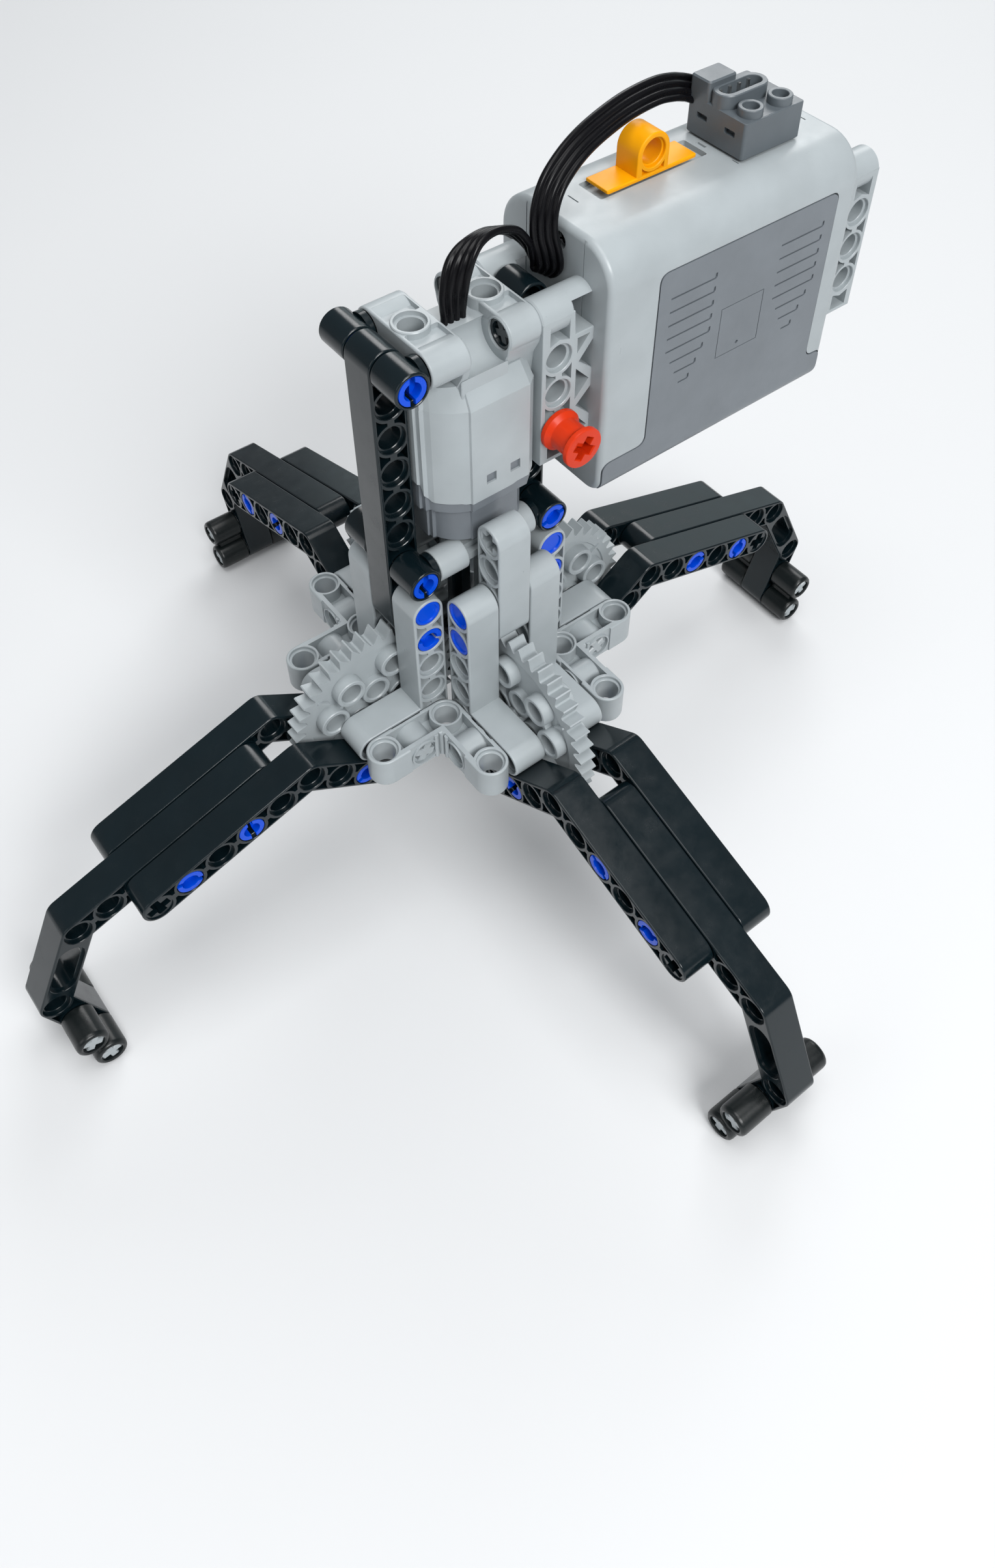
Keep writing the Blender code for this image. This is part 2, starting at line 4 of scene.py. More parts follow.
import bmesh
import bpy
from mathutils import Matrix, Vector
from mathutils.geometry import tessellate_polygon


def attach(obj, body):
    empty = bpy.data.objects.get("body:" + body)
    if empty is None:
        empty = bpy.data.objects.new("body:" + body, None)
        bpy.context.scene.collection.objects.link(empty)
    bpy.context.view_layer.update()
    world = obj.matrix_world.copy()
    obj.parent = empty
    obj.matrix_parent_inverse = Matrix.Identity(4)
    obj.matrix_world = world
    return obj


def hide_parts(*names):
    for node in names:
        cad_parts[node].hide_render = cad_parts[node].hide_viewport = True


# Looks of the four-legged walking robot of plastic beams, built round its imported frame.
# Shapes are drawn in millimetres or in pitches of the hole grid, from the crossing of the
# worm's axis with the gear axles, and piece() turns them into metres. X points along leg a,
# Y along leg b, Z up.

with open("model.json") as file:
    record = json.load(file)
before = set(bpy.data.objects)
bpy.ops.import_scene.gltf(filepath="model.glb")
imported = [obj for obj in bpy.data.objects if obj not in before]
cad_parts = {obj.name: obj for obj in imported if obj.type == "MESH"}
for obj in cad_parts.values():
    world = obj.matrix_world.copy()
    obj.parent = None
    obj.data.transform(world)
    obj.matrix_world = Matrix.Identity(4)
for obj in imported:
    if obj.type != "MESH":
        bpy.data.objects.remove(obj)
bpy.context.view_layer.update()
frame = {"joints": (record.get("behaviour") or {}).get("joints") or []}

MM = 0.001
METRES = Matrix.Scale(MM, 4)
PITCH = 8.0
SWING = next(joint for joint in frame["joints"] if joint["name"] == "leg_a_swing")
AXLE_HEIGHT = SWING["pos_m"][2] / MM
UP = Matrix.Translation((0.0, 0.0, AXLE_HEIGHT))

# Beams and pins
BEAM_RADIUS = 3.65
BEAM_HALF = 3.9
HOLE = 2.4
COUNTERBORE = 3.05
COUNTERBORE_DEPTH = 0.8
POCKET_DEPTH = 2.3
EDGE = 0.35
RIM_SOFTNESS = 0.12
TUBE_RADIUS = 3.65
TOP_LEVEL = 11 * PITCH
LOWER_LEVEL = 5 * PITCH
ROUND_SIDES = 28
SHARP_ANGLE = 32.0

# Legs, seen from the side: x outward from the gear's centre, z up, in pitches
GEAR_RADIAL = 3.0
LEG_DROOP = radians(1.3)
LONG_ARM = Vector((0.96, -0.28))
SHORT_ARM = Vector((-0.8, -0.6))
SHIN = Vector((-0.28, -0.96))
LEG_CORNER = Vector((2.9, 0.3))
KNEE = LEG_CORNER + 7 * LONG_ARM
ANKLE = KNEE + 2 * LONG_ARM + 2 * SHIN
TOE = ANKLE + 2 * SHIN

# Gears and worm
TOOTH_COUNT = 40
GEAR_MODULE = 1.0
GEAR_RADIUS = TOOTH_COUNT * GEAR_MODULE / 2
TOOTH_THICKNESS = 1.15
PRESSURE_SLOPE = tan(radians(20.0))
GEAR_HALF_WIDTH = 2.0
WORM_RADIUS = GEAR_RADIAL * PITCH - GEAR_RADIUS
WORM_LEAD = pi * GEAR_MODULE
WORM_HALF_LENGTH = 7.8

# Motor: half width across its flat panels, radius of its round corners, and its levels
MOTOR_SIDE = 1.49 * PITCH
MOTOR_ROUND = 1.53 * PITCH
MOTOR_BOTTOM = 5.5 * PITCH
MOTOR_SPLIT = 6.9 * PITCH
MOTOR_SHOULDER = 9.72 * PITCH
MOTOR_NECK = 10.24 * PITCH

# Battery box and what stands on it
BOX_NEAR = -3.0 * PITCH
BOX_FAR = -11.0 * PITCH
BOX_BOTTOM = 5.5 * PITCH
BOX_TOP = 12.5 * PITCH
BOX_SIDE = 2.0 * PITCH
SCREW = (0.16 * PITCH, 12.02 * PITCH)
SWITCH_PLACE = (-5.85 * PITCH, -0.34 * PITCH, BOX_TOP)
PLUG_PLACE = (-8.84 * PITCH, -0.08 * PITCH, 0.0)

# Camera, fitted to the hole grid: place in metres and two of its axes
CAMERA_PLACE = Vector((0.10922, 0.15770, 0.28041))
CAMERA_RIGHT = Vector((-0.7868, 0.6172, 0.0063))
CAMERA_FORWARD = Vector((-0.4059, -0.5097, -0.7586))
CAMERA_LENS = 29.77
CAMERA_SHIFT = (-0.0129, -0.0951)

# Cable from the motor's top to the plug: points of its centre line, in metres
CABLE_ROUTE = [
    (0.00000, 0.00160, 0.09088),
    (-0.00016, 0.00176, 0.09560),
    (-0.00176, 0.00144, 0.10000),
    (-0.00512, 0.00064, 0.10240),
    (-0.00952, -0.00016, 0.10264),
    (-0.01400, -0.00080, 0.10080),
    (-0.01728, -0.00144, 0.09760),
    (-0.01952, -0.00208, 0.09440),
    (-0.02128, -0.00240, 0.09160),
    (-0.02176, -0.00048, 0.08960),
    (-0.02176, 0.00144, 0.09160),
    (-0.02112, 0.00176, 0.09480),
    (-0.02040, 0.00136, 0.09848),
    (-0.02080, 0.00080, 0.10264),
    (-0.02296, 0.00000, 0.10648),
    (-0.02696, -0.00120, 0.10904),
    (-0.03200, -0.00256, 0.11072),
    (-0.03808, -0.00400, 0.11168),
    (-0.04504, -0.00544, 0.11216),
    (-0.05256, -0.00680, 0.11176),
    (-0.05792, -0.00784, 0.11048),
    (-0.06192, -0.00880, 0.10888),
]
# Direction of the ribbon's width at each of those points
CABLE_ACROSS = [
    (1.0, -0.02, 0.0),
    (0.85, -0.5, 0.0),
    (0.6, -0.8, -0.1),
    (0.25, -0.9, -0.38),
    (0.0, -0.88, -0.47),
    (0.0, -0.86, -0.5),
    (-0.1, -0.93, -0.35),
    (-0.45, -0.87, -0.2),
    (-0.75, -0.66, 0.0),
    (-0.75, 0.0, -0.66),
    (-0.75, 0.66, 0.0),
    (-0.75, 0.66, 0.0),
    (-0.75, 0.66, 0.0),
    (-0.75, 0.66, -0.05),
    (-0.6, 0.66, -0.4),
    (-0.35, 0.64, -0.68),
    (-0.2, 0.62, -0.76),
    (-0.08, 0.6, -0.79),
    (0.0, 0.6, -0.8),
    (0.0, 0.56, -0.83),
    (-0.05, 0.5, -0.86),
    (-0.1, 0.45, -0.88),
]
CABLE_WIDTH = 5.2 * MM
CABLE_CORES = 4
CABLE_STEPS = 169
ROUTE_STEPS = 20


# ---------------------------------------------------------------- camera, light, floor

def add_object(name, data):
    item = bpy.data.objects.new(name, data)
    bpy.context.scene.collection.objects.link(item)
    return item


def build_camera():
    data = bpy.data.cameras.new("camera")
    data.sensor_width = 36.0
    data.lens = CAMERA_LENS
    data.shift_x, data.shift_y = CAMERA_SHIFT
    data.clip_start = 0.01
    data.clip_end = 20.0
    item = add_object("camera", data)
    back = -CAMERA_FORWARD.normalized()
    right = CAMERA_RIGHT.normalized()
    turn = Matrix((right, back.cross(right), back)).transposed().to_4x4()
    item.matrix_world = Matrix.Translation(CAMERA_PLACE) @ turn
    bpy.context.scene.camera = item


def softbox(name, place, width, height, power, tint=(1.0, 1.0, 1.0)):
    """Rectangular light turned to the middle of the object."""
    data = bpy.data.lights.new(name, "AREA")
    data.shape = "RECTANGLE"
    data.size = width
    data.size_y = height
    data.energy = power
    data.color = tint
    item = add_object(name, data)
    item.location = place
    toward = Vector((0.0, 0.0, 0.08)) - Vector(place)
    item.rotation_euler = toward.to_track_quat("-Z", "Y").to_euler()


def build_studio():
    world = bpy.data.worlds.new("studio")
    bpy.context.scene.world = world
    world.use_nodes = True
    background = world.node_tree.nodes["Background"]
    background.inputs["Color"].default_value = (0.93, 0.96, 1.0, 1.0)
    background.inputs["Strength"].default_value = 0.24
    softbox("key_light", (0.10, 0.88, 0.86), 0.6, 0.45, 12.0)
    softbox("fill_light", (0.95, -0.05, 0.6), 0.6, 0.6, 1.5)
    softbox("low_back_light", (-1.1, -1.0, 0.42), 1.6, 0.4, 1.4, (0.8, 0.97, 1.0))
    softbox("back_light", (-0.75, -0.65, 0.8), 0.8, 0.45, 5.5)
    softbox("top_light", (0.0, 0.1, 1.2), 0.7, 0.7, 6.4)
    mesh = bmesh.new()
    bmesh.ops.create_grid(mesh, x_segments=8, y_segments=8, size=3.0)
    floor = add_object("floor", mesh_data("floor", mesh))
    floor.location.z = -0.0003
    material, shader = new_material("floor")
    shader.inputs["Base Color"].default_value = (0.66, 0.67, 0.68, 1.0)
    shader.inputs["Roughness"].default_value = 0.7
    floor.data.materials.append(material)


# ---------------------------------------------------------------- materials


def new_material(name):
    material = bpy.data.materials.new(name)
    material.use_nodes = True
    return material, material.node_tree.nodes["Principled BSDF"]


def node(tree, kind, **settings):
    """Shader node. A setting is a property, an input's value or the output it is linked to."""
    item = tree.nodes.new(kind)
    for key, value in settings.items():
        key = key.replace("_", " ")
        if isinstance(value, bpy.types.NodeSocket):
            tree.links.new(value, item.inputs[key])
        elif key in item.inputs:
            item.inputs[key].default_value = value
        else:
            setattr(item, key, value)
    return item


def moulded(name, colour, roughness, grain=0.04, spread=0.06, specular=0.5, metallic=0.0):
    """Moulded plastic: slow colour drift, fine skin grain, flow marks and hairline scratches."""
    material, shader = new_material(name)
    tree = material.node_tree
    link = tree.links.new
    place = node(tree, "ShaderNodeTexCoord").outputs["Object"]

    def noise(vector, scale, detail, rough):
        return node(tree, "ShaderNodeTexNoise", Vector=vector, Scale=scale, Detail=detail,
                    Roughness=rough).outputs["Fac"]

    def blended(first, share, second):
        item = node(tree, "ShaderNodeMath", operation="MULTIPLY_ADD")
        item.inputs[1].default_value = share
        link(first, item.inputs[0])
        link(second, item.inputs[2])
        return item.outputs["Value"]

    ramp = node(tree, "ShaderNodeValToRGB", Fac=noise(place, 95.0, 3.0, 0.5))
    for step, (position, change) in enumerate(((0.3, 1.0 - spread), (0.7, 1.0 + spread))):
        ramp.color_ramp.elements[step].position = position
        ramp.color_ramp.elements[step].color = (*[min(1.0, c * change) for c in colour], 1.0)
    stretched = node(tree, "ShaderNodeMapping", Vector=place, Scale=(1.0, 1.0, 0.12),
                     Rotation=(0.4, 0.7, 0.3)).outputs["Vector"]
    scratches = noise(stretched, 2600.0, 2.0, 0.7)
    smear = noise(place, 240.0, 4.0, 0.6)
    skin = noise(place, 1400.0, 3.0, 0.55)
    gloss = node(tree, "ShaderNodeMapRange", Value=blended(scratches, 0.35, smear), From_Min=0.4,
                 From_Max=0.95, To_Min=roughness - 0.07, To_Max=roughness + 0.1)
    bump = node(tree, "ShaderNodeBump", Strength=grain, Distance=0.0004,
                Height=blended(skin, 0.6, smear))
    shader.inputs["Specular IOR Level"].default_value = specular
    shader.inputs["Metallic"].default_value = metallic
    link(ramp.outputs["Color"], shader.inputs["Base Color"])
    link(gloss.outputs["Result"], shader.inputs["Roughness"])
    link(bump.outputs["Normal"], shader.inputs["Normal"])
    return material


LIGHT_GREY = moulded("light_grey_plastic", (0.335, 0.370, 0.385), 0.34)
DARK_GREY = moulded("dark_grey_plastic", (0.140, 0.158, 0.176), 0.36)
# Same dark grey plastic as the lid, made darker on the plug: painted shade.
PLUG_SHADED_GREY = moulded("plug_grey_plastic_painted_shade", (0.092, 0.109, 0.122), 0.36)
BLACK = moulded("black_plastic", (0.0030, 0.0082, 0.0110), 0.2, 0.004, 0.1, 0.42)
RUBBER = moulded("black_rubber", (0.005, 0.0075, 0.008), 0.3, 0.05, 0.2, 0.4)
ORANGE = moulded("orange_plastic", (0.80, 0.33, 0.001), 0.34, specular=0.18)
RED = moulded("red_orange_plastic", (0.58, 0.032, 0.004), 0.32, specular=0.22)
BLUE = moulded("blue_plastic", (0.0005, 0.065, 0.60), 0.2, specular=0.22)
STEEL = moulded("steel", (0.55, 0.55, 0.54), 0.3, 0.1, metallic=1.0)
STEEL_DARK = moulded("dark_steel", (0.09, 0.09, 0.095), 0.35, 0.1, metallic=1.0)
CABLE_BLACK = moulded("cable_sheath", (0.003, 0.003, 0.004), 0.28, 0.01, 0.1, 0.18)


# ---------------------------------------------------------------- outlines

def vectors(points, scale=1.0):
    return [Vector(point) * scale for point in points]


def evenly(start, end, steps):
    return [start + (end - start) * i / steps for i in range(steps + 1)]


def arc(centre, radius, start, sweep, steps):
    return [Vector((centre[0] + radius * cos(a), centre[1] + radius * sin(a)))
            for a in evenly(start, start + sweep, steps)]


def circle(centre, radius, sides=ROUND_SIDES):
    return arc(centre, radius, 0.0, 2 * pi, sides)[:-1]


def side_of_path(points, radius, cap_steps):
    edge = []
    for i in range(1, len(points)):
        here = points[i]
        heading = (here - points[i - 1]).normalized()
        normal = Vector((heading.y, -heading.x))
        start = atan2(normal.y, normal.x)
        if i == len(points) - 1:
            edge += arc(here, radius, start, pi, cap_steps)
            continue
        following = (points[i + 1] - here).normalized()
        bend = atan2(heading.cross(following), heading.dot(following))
        if bend > 0:
            edge += arc(here, radius, start, bend, 5)
        else:
            inside = normal + Vector((following.y, -following.x))
            edge.append(here + inside.normalized() * radius / cos(bend / 2))
    return edge


def path_outline(points, radius, cap_steps=14):
    """Outline of a bar of constant width with round ends, along a path."""
    return side_of_path(points, radius, cap_steps) + side_of_path(points[::-1], radius, cap_steps)


def bar(points, radius):
    """The same outline for any inset."""
    return lambda inset: path_outline(points, radius - inset)


def rounded_box(low, high, radius, steps=1):
    """Rectangle with one corner radius, or one at each corner from the lower left on."""
    radii = (radius,) * 4 if isinstance(radius, float) else radius
    corners = ((low[0], low[1], 1, 1), (high[0], low[1], -1, 1),
               (high[0], high[1], -1, -1), (low[0], high[1], 1, -1))
    outline = []
    for i, (x, y, right, up) in enumerate(corners):
        centre = (x + right * radii[i], y + up * radii[i])
        outline += arc(centre, radii[i], pi + i * pi / 2, pi / 2, steps)
    return outline


def box_round(x, y, half_wide, half_long, radius, steps=1):
    """Rounded rectangle about its middle."""
    return rounded_box((x - half_wide, y - half_long), (x + half_wide, y + half_long), radius,
                       steps)


def inset_outline(points, inset):
    """Closed outline moved inward by the same distance all round."""
    turn = sum(a.cross(b) for a, b in zip(points, points[1:] + points[:1]))
    shift = copysign(inset, turn)
    moved = []
    for i, here in enumerate(points):
        before = (here - points[i - 1]).normalized()
        after = (points[(i + 1) % len(points)] - here).normalized()
        bend = Vector((-before.y - after.y, before.x + after.x))
        moved.append(here + bend * shift / (1.0 + before.dot(after)))
    return moved


def softened(points, radius, steps=4):
    """Outline whose corners are rounded."""
    outline = []
    for i, here in enumerate(points):
        to_before = points[i - 1] - here
        to_after = points[(i + 1) % len(points)] - here
        reach = min(radius / tan(to_before.angle(to_after) / 2), to_before.length * 0.45,
                    to_after.length * 0.45)
        start = here + to_before.normalized() * reach
        end = here + to_after.normalized() * reach
        for t in evenly(0.0, 1.0, steps):
            outline.append(start * (1 - t) ** 2 + here * 2 * t * (1 - t) + end * t * t)
    return outline


def divided(points, parts=1, longest=PITCH):
    """The same closed outline with its sides cut into equal parts, none of them too long."""
    outline = []
    for i, point in enumerate(points):
        following = points[(i + 1) % len(points)]
        count = max(parts, ceil((following - point).length / longest))
        outline += [point.lerp(following, step / count) for step in range(count)]
    return outline


def turned(point, angle):
    """A side-view point turned downward about the gear's centre."""
    return Matrix.Rotation(-angle, 2) @ point


def cross(centre, arm=2.4, half=0.92, turn=0.0):
    """Cross-shaped axle section."""
    points = []
    for i in range(4):
        spin = Matrix.Rotation(turn + i * pi / 2, 2)
        for corner in ((arm, -half), (arm, half), (half, half)):
            points.append(Vector(centre) + spin @ Vector(corner))
    return points


# ---------------------------------------------------------------- meshes

# Turns a local mesh, drawn in its own XY plane with its height along Z, into the design axes
ALONG = {
    "X": Matrix(((0, 0, 1, 0), (1, 0, 0, 0), (0, 1, 0, 0), (0, 0, 0, 1))),
    "Y": Matrix(((1, 0, 0, 0), (0, 0, 1, 0), (0, 1, 0, 0), (0, 0, 0, 1))),
    "Z": Matrix.Identity(4),
}


def mesh_data(name, mesh):
    data = bpy.data.meshes.new(name)
    mesh.to_mesh(data)
    mesh.free()
    return data


def add_ring(mesh, points, height):
    return [mesh.verts.new((p[0], p[1], height)) for p in points]


def bridge(mesh, rings):
    """Side faces between each ring and the next. Returns the rings."""
    for lower, upper in zip(rings, rings[1:]):
        for i in range(len(lower)):
            j = (i + 1) % len(lower)
            mesh.faces.new((lower[i], lower[j], upper[j], upper[i]))
    return rings


def closed(mesh, rings):
    """Side faces through rings, with a face over the first and one over the last."""
    bridge(mesh, rings)
    mesh.faces.new(rings[0])
    mesh.faces.new(rings[-1])
    return mesh


def fill(mesh, rings):
    """Flat face inside the first ring and outside the others."""
    verts = [vert for ring in rings for vert in ring]
    if len(rings) == 1:
        mesh.faces.new(verts)
        return
    flat = [[Vector((vert.co.x, vert.co.y, 0.0)) for vert in ring] for ring in rings]
    for piece_of_face in tessellate_polygon(flat):
        mesh.faces.new([verts[i] for i in piece_of_face])


def solid(levels, mesh=None):
    """Adds a closed solid through rings of points, each with its height."""
    mesh = mesh or bmesh.new()
    return closed(mesh, [add_ring(mesh, points, height) for points, height in levels])


def slab(outline, low, high, mesh=None):
    """Adds a straight solid between two heights."""
    return solid([(outline, low), (outline, high)], mesh)


def lathe(centre, profile, mesh=None, base=0.0, sides=ROUND_SIDES):
    """Adds a round solid. Its profile has radii and heights over the base."""
    return solid([(circle(centre, radius, sides), base + height)
                  for radius, height in profile], mesh)


def face(mesh, outer, features, height_at):
    """Flat face inside a ring, with its features. Returns the rings of those that go through."""
    rings = [outer]
    through = []
    for levels, floor in features:
        steps = bridge(mesh, [add_ring(mesh, points, height_at(height))
                              for points, height in levels])
        rings.append(steps[0])
        if floor is True:
            through.append(steps[-1])
        else:
            through += face(mesh, steps[-1], floor, height_at)
    fill(mesh, rings)
    return through


def plate(outline, features, half, middle=0.0, edge=EDGE, mesh=None):
    """Plate with rounded edges and the same sunk or raised features on both faces.

    outline(inset) gives the edge's points. A feature is (levels, floor): rings of points with
    their height over the face, then the features of its own floor, or True if it goes through.
    """
    mesh = mesh or bmesh.new()
    rounding = ((0.0, -edge), (0.13 * edge, -0.5 * edge), (0.5 * edge, -0.13 * edge), (edge, 0.0))
    waists = []
    for sign in (1, -1):
        def height_at(height):
            return middle + sign * (half + height)

        rings = bridge(mesh, [add_ring(mesh, outline(inset), height_at(height))
                              for inset, height in rounding[0 if edge else 3:]])
        waists.append([rings[0]] + face(mesh, rings[-1], features, height_at))
    for pair in zip(*waists):
        bridge(mesh, pair)
    return mesh


def piece(name, mesh, material, place=UP, axis="Z", angle=SHARP_ANGLE):
    """Turns a bmesh, drawn across an axis of a place, into an object in metres."""
    bmesh.ops.transform(mesh, matrix=METRES @ place @ ALONG[axis], verts=mesh.verts)
    bmesh.ops.recalc_face_normals(mesh, faces=mesh.faces)
    data = mesh_data(name, mesh)
    data.shade_smooth()
    data.set_sharp_from_angle(angle=radians(angle))
    data.materials.append(material)
    return add_object(name, data)


def bake(item):
    """Applies the item's modifiers to its mesh."""
    bpy.context.view_layer.update()
    shape = item.evaluated_get(bpy.context.evaluated_depsgraph_get())
    data = bpy.data.meshes.new_from_object(shape)
    item.modifiers.clear()
    item.data = data


def mount(item, *nodes, body="chassis"):
    """Rides on a body and stands for CAD nodes, whose parts it hides.

    Large flat faces keep their own direction beside the rounded edges.
    """
    modifier = item.modifiers.new("flatten", "WEIGHTED_NORMAL")
    modifier.mode = "FACE_AREA"
    modifier.keep_sharp = True
    bake(item)
    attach(item, body)
    if nodes:
        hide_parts(*nodes)
    return item


def carve(item, *tools, place=UP, operation="DIFFERENCE"):
    """Boolean steps by meshes, each with the axis it is drawn across, applied at once."""
    objects = [piece("tool", mesh, item.data.materials[0], place, axis) for mesh, axis in tools]
    for tool in objects:
        modifier = item.modifiers.new("carve", "BOOLEAN")
        modifier.operation = operation
        modifier.solver = "EXACT"
        modifier.object = tool
    bake(item)
    for tool in objects:
        bpy.data.objects.remove(tool)
    item.data.shade_smooth()
    item.data.set_sharp_from_angle(angle=radians(SHARP_ANGLE))
    return item


# ---------------------------------------------------------------- cable

def smooth_route(route):
    """Even points on a Catmull-Rom curve through the route, each with its place on it."""
    route = [UP @ (Vector(point) / MM) for point in route]
    padded = [2 * route[0] - route[1]] + route + [2 * route[-1] - route[-2]]
    fine = []
    for i in range(len(route) - 1):
        p0, p1, p2, p3 = padded[i:i + 4]
        for t in evenly(0.0, 1.0, ROUTE_STEPS)[:-1]:
            fine.append((0.5 * (2 * p1 + (p2 - p0) * t + (2 * p0 - 5 * p1 + 4 * p2 - p3) * t * t
                                + (3 * p1 - 3 * p2 + p3 - p0) * t ** 3), i + t))
    fine.append((route[-1], len(route) - 1.0))
    lengths = [0.0]
    for first, last in zip(fine, fine[1:]):
        lengths.append(lengths[-1] + (last[0] - first[0]).length)
    even = []
    index = 0
    for target in evenly(0.0, lengths[-1], CABLE_STEPS):
        while index < len(fine) - 2 and lengths[index + 1] < target:
            index += 1
        part = (target - lengths[index]) / (lengths[index + 1] - lengths[index])
        (place, row), (next_place, next_row) = fine[index:index + 2]
        even.append((place.lerp(next_place, part), row + (next_row - row) * part))
    return even, lengths[-1]


def ribbon_section():
    """Flat ribbon of round cores side by side, joined by thin webs: across, then thickness."""
    width = CABLE_WIDTH / MM
    core = width / CABLE_CORES / 2
    points = []
    for side in (1, -1):
        for i in range(CABLE_CORES):
            centre = side * (-width / 2 + core * (2 * i + 1))
            for angle in evenly(pi * 0.88, pi * 0.12, 4):
                points.append((centre + side * core * cos(angle), side * core * 1.15 * sin(angle)))
    return points


def build_cable():
    """Four-core ribbon from the motor, down behind the lug, up and over to the plug."""
    even, length = smooth_route(CABLE_ROUTE)
    path = [place for place, row in even]
    sides = vectors(CABLE_ACROSS)
    frames = []
    for i, (place, row) in enumerate(even):
        heading = (path[min(len(path) - 1, i + 1)] - path[max(0, i - 1)]).normalized()
        index = min(int(row), len(sides) - 2)
        across = sides[index].lerp(sides[index + 1], row - index)
        across = (across - heading * across.dot(heading)).normalized()
        frames.append((place, across, heading))
    place, across, heading = frames[0]
    frames.insert(0, (place - 1.6 * heading, across, heading))
    place, across, heading = frames[-1]
    for step in range(1, 4):
        turn = (heading + Vector((0.0, 0.22 * step, 0.0))).normalized()
        place = place + turn
        frames.append((place, (across - turn * across.dot(turn)).normalized(), turn))
    mesh = bmesh.new()
    section = ribbon_section()
    rings = []
    for place, across, heading in frames:
        normal = heading.cross(across)
        rings.append([mesh.verts.new(place + across * u + normal * v) for u, v in section])
    cable = piece("cable_ribbon", closed(mesh, rings), CABLE_BLACK, Matrix(), angle=70.0)
    mount(cable, "cable")
    return cable, [place * MM for place in path], length * MM


# ---------------------------------------------------------------- beams

def round_hole(centre, radius=HOLE, mouth=COUNTERBORE, depth=COUNTERBORE_DEPTH):
    """Pin hole right through a plate: softened rim, counterbore and bore."""
    soft = RIM_SOFTNESS
    levels = ((mouth + soft, 0.0), (mouth, -soft), (mouth, -depth), (radius + soft, -depth),
              (radius, -depth - soft))
    return [(circle(centre, size), height) for size, height in levels], True


def cross_hole(centre, turn=0.0):
    """Cross-shaped axle hole right through a plate, behind a shallow round rim."""
    shape = divided(cross(centre, turn=turn), 3)
    middle = Vector(centre)
    rim = [middle + (point - middle).normalized() * COUNTERBORE for point in shape]
    wide = [middle + (point - middle) * 1.06 for point in shape]
    return [(rim, 0.0), (rim, -0.3), (wide, -0.3), (shape, -0.5)], True


def sunk(points, depth):
    """Flat-bottomed hollow in both faces of a plate."""
    return [(points, 0.0), (points, -depth)], []


def bowed(first, last, across, radius, angles):
    """Outline from a bow round one place to the mirrored bow round the other."""
    along = (last - first).normalized()
    points = [first + (along * cos(a) + across * sin(a)) * radius for a in angles]
    return points + [last + (across * sin(a) - along * cos(a)) * radius for a in angles[::-1]]


def pockets(first, last):
    """The two three-sided pockets between neighbouring holes."""
    rim = 3.72
    wall = BEAM_RADIUS - 0.62
    waist = 0.75
    bow = evenly(asin(wall / rim), asin(waist / rim), 5)
    along = (last - first).normalized()
    return [sunk(bowed(first, last, Vector((-along.y, along.x)) * side, rim, bow), POCKET_DEPTH)
            for side in (1, -1)]


def pitches(first, last):
    """Places one pitch apart between two points."""
    count = round((last - first).length / PITCH)
    return [first.lerp(last, i / count) for i in range(count + 1)]


def beam_features(path, crosses=()):
    """Holes one pitch apart along a path, and pockets between neighbours."""
    features = []
    places = []
    for ends in zip(path, path[1:]):
        run = pitches(*ends)
        for pair in zip(run, run[1:]):
            features += pockets(*pair)
        places += [place for place in run
                   if all((place - other).length > PITCH / 4 for other in places)]
    for place in places:
        turn = next((t for spot, t in crosses if (spot - place).length < 1.0), None)
        features.append(round_hole(place) if turn is None else cross_hole(place, turn))
    return features


def beam(name, node_name, points, middle, axis, material, place=UP, crosses=(), body="chassis"):
    """Beam along a path in pitches, with its middle at a height along an axis."""
    path = vectors(points, PITCH)
    spots = [(path[index], turn) for index, turn in crosses]
    mesh = plate(bar(path, BEAM_RADIUS), beam_features(path, spots), BEAM_HALF, middle)
    mount(piece(name, mesh, material, place, axis), node_name, body=body)


def quarter(index):
    """Place of side a, b, c or d of the frame."""
    return UP @ Matrix.Rotation(index * pi / 2, 4, "Z")


# ---------------------------------------------------------------- pins and axles

def half_ring(inner, outer, gap):
    """Half of a ring that is split by a slot."""
    first, second = asin(gap / outer), asin(gap / inner)
    outline = arc((0.0, 0.0), outer, first, pi - 2 * first, 12)
    return outline + arc((0.0, 0.0), inner, pi - second, 2 * second - pi, 12)


def slotted_end():
    """Open end of a friction pin: a collar split by a slot, round a hollow."""
    mesh = lathe((0.0, 0.0), ((2.35, -7.0), (2.35, -5.2)))
    start = asin(0.5 / 2.35)
    lobe = arc((0.0, 0.0), 2.35, start, pi - 2 * start, 14)
    collar = half_ring(1.75, 2.95, 0.5)
    for turn in (0.0, pi):
        spin = Matrix.Rotation(turn, 2)
        for levels in (((collar, -3.2), (collar, -0.35), (half_ring(1.85, 2.85, 0.58), -0.1)),
                       ((lobe, -5.5), (lobe, -1.9))):
            solid([([spin @ point for point in points], height)
                   for points, height in levels], mesh)
    return mesh


def plain_end():
    """Closed end of a pin: a shallow dish with a raised rim."""
    return lathe((0.0, 0.0), ((2.35, -7.0), (2.35, -0.9), (2.97, -0.8), (2.97, -0.32),
                              (2.8, -0.15), (2.35, -0.15), (2.15, -0.45), (0.6, -0.5)))


def pin_end(name, place, spot, side, turn, plain=False, body="chassis"):
    """One end of a blue connector pin in a beam's hole, facing along Y to one side."""
    facing = Vector((0, side, 0)).to_track_quat("Z", "Y").to_matrix().to_4x4()
    place = place @ Matrix.Translation(spot) @ facing @ Matrix.Rotation(turn, 4, "Z")
    mount(piece(name, plain_end() if plain else slotted_end(), BLUE, place), body=body)


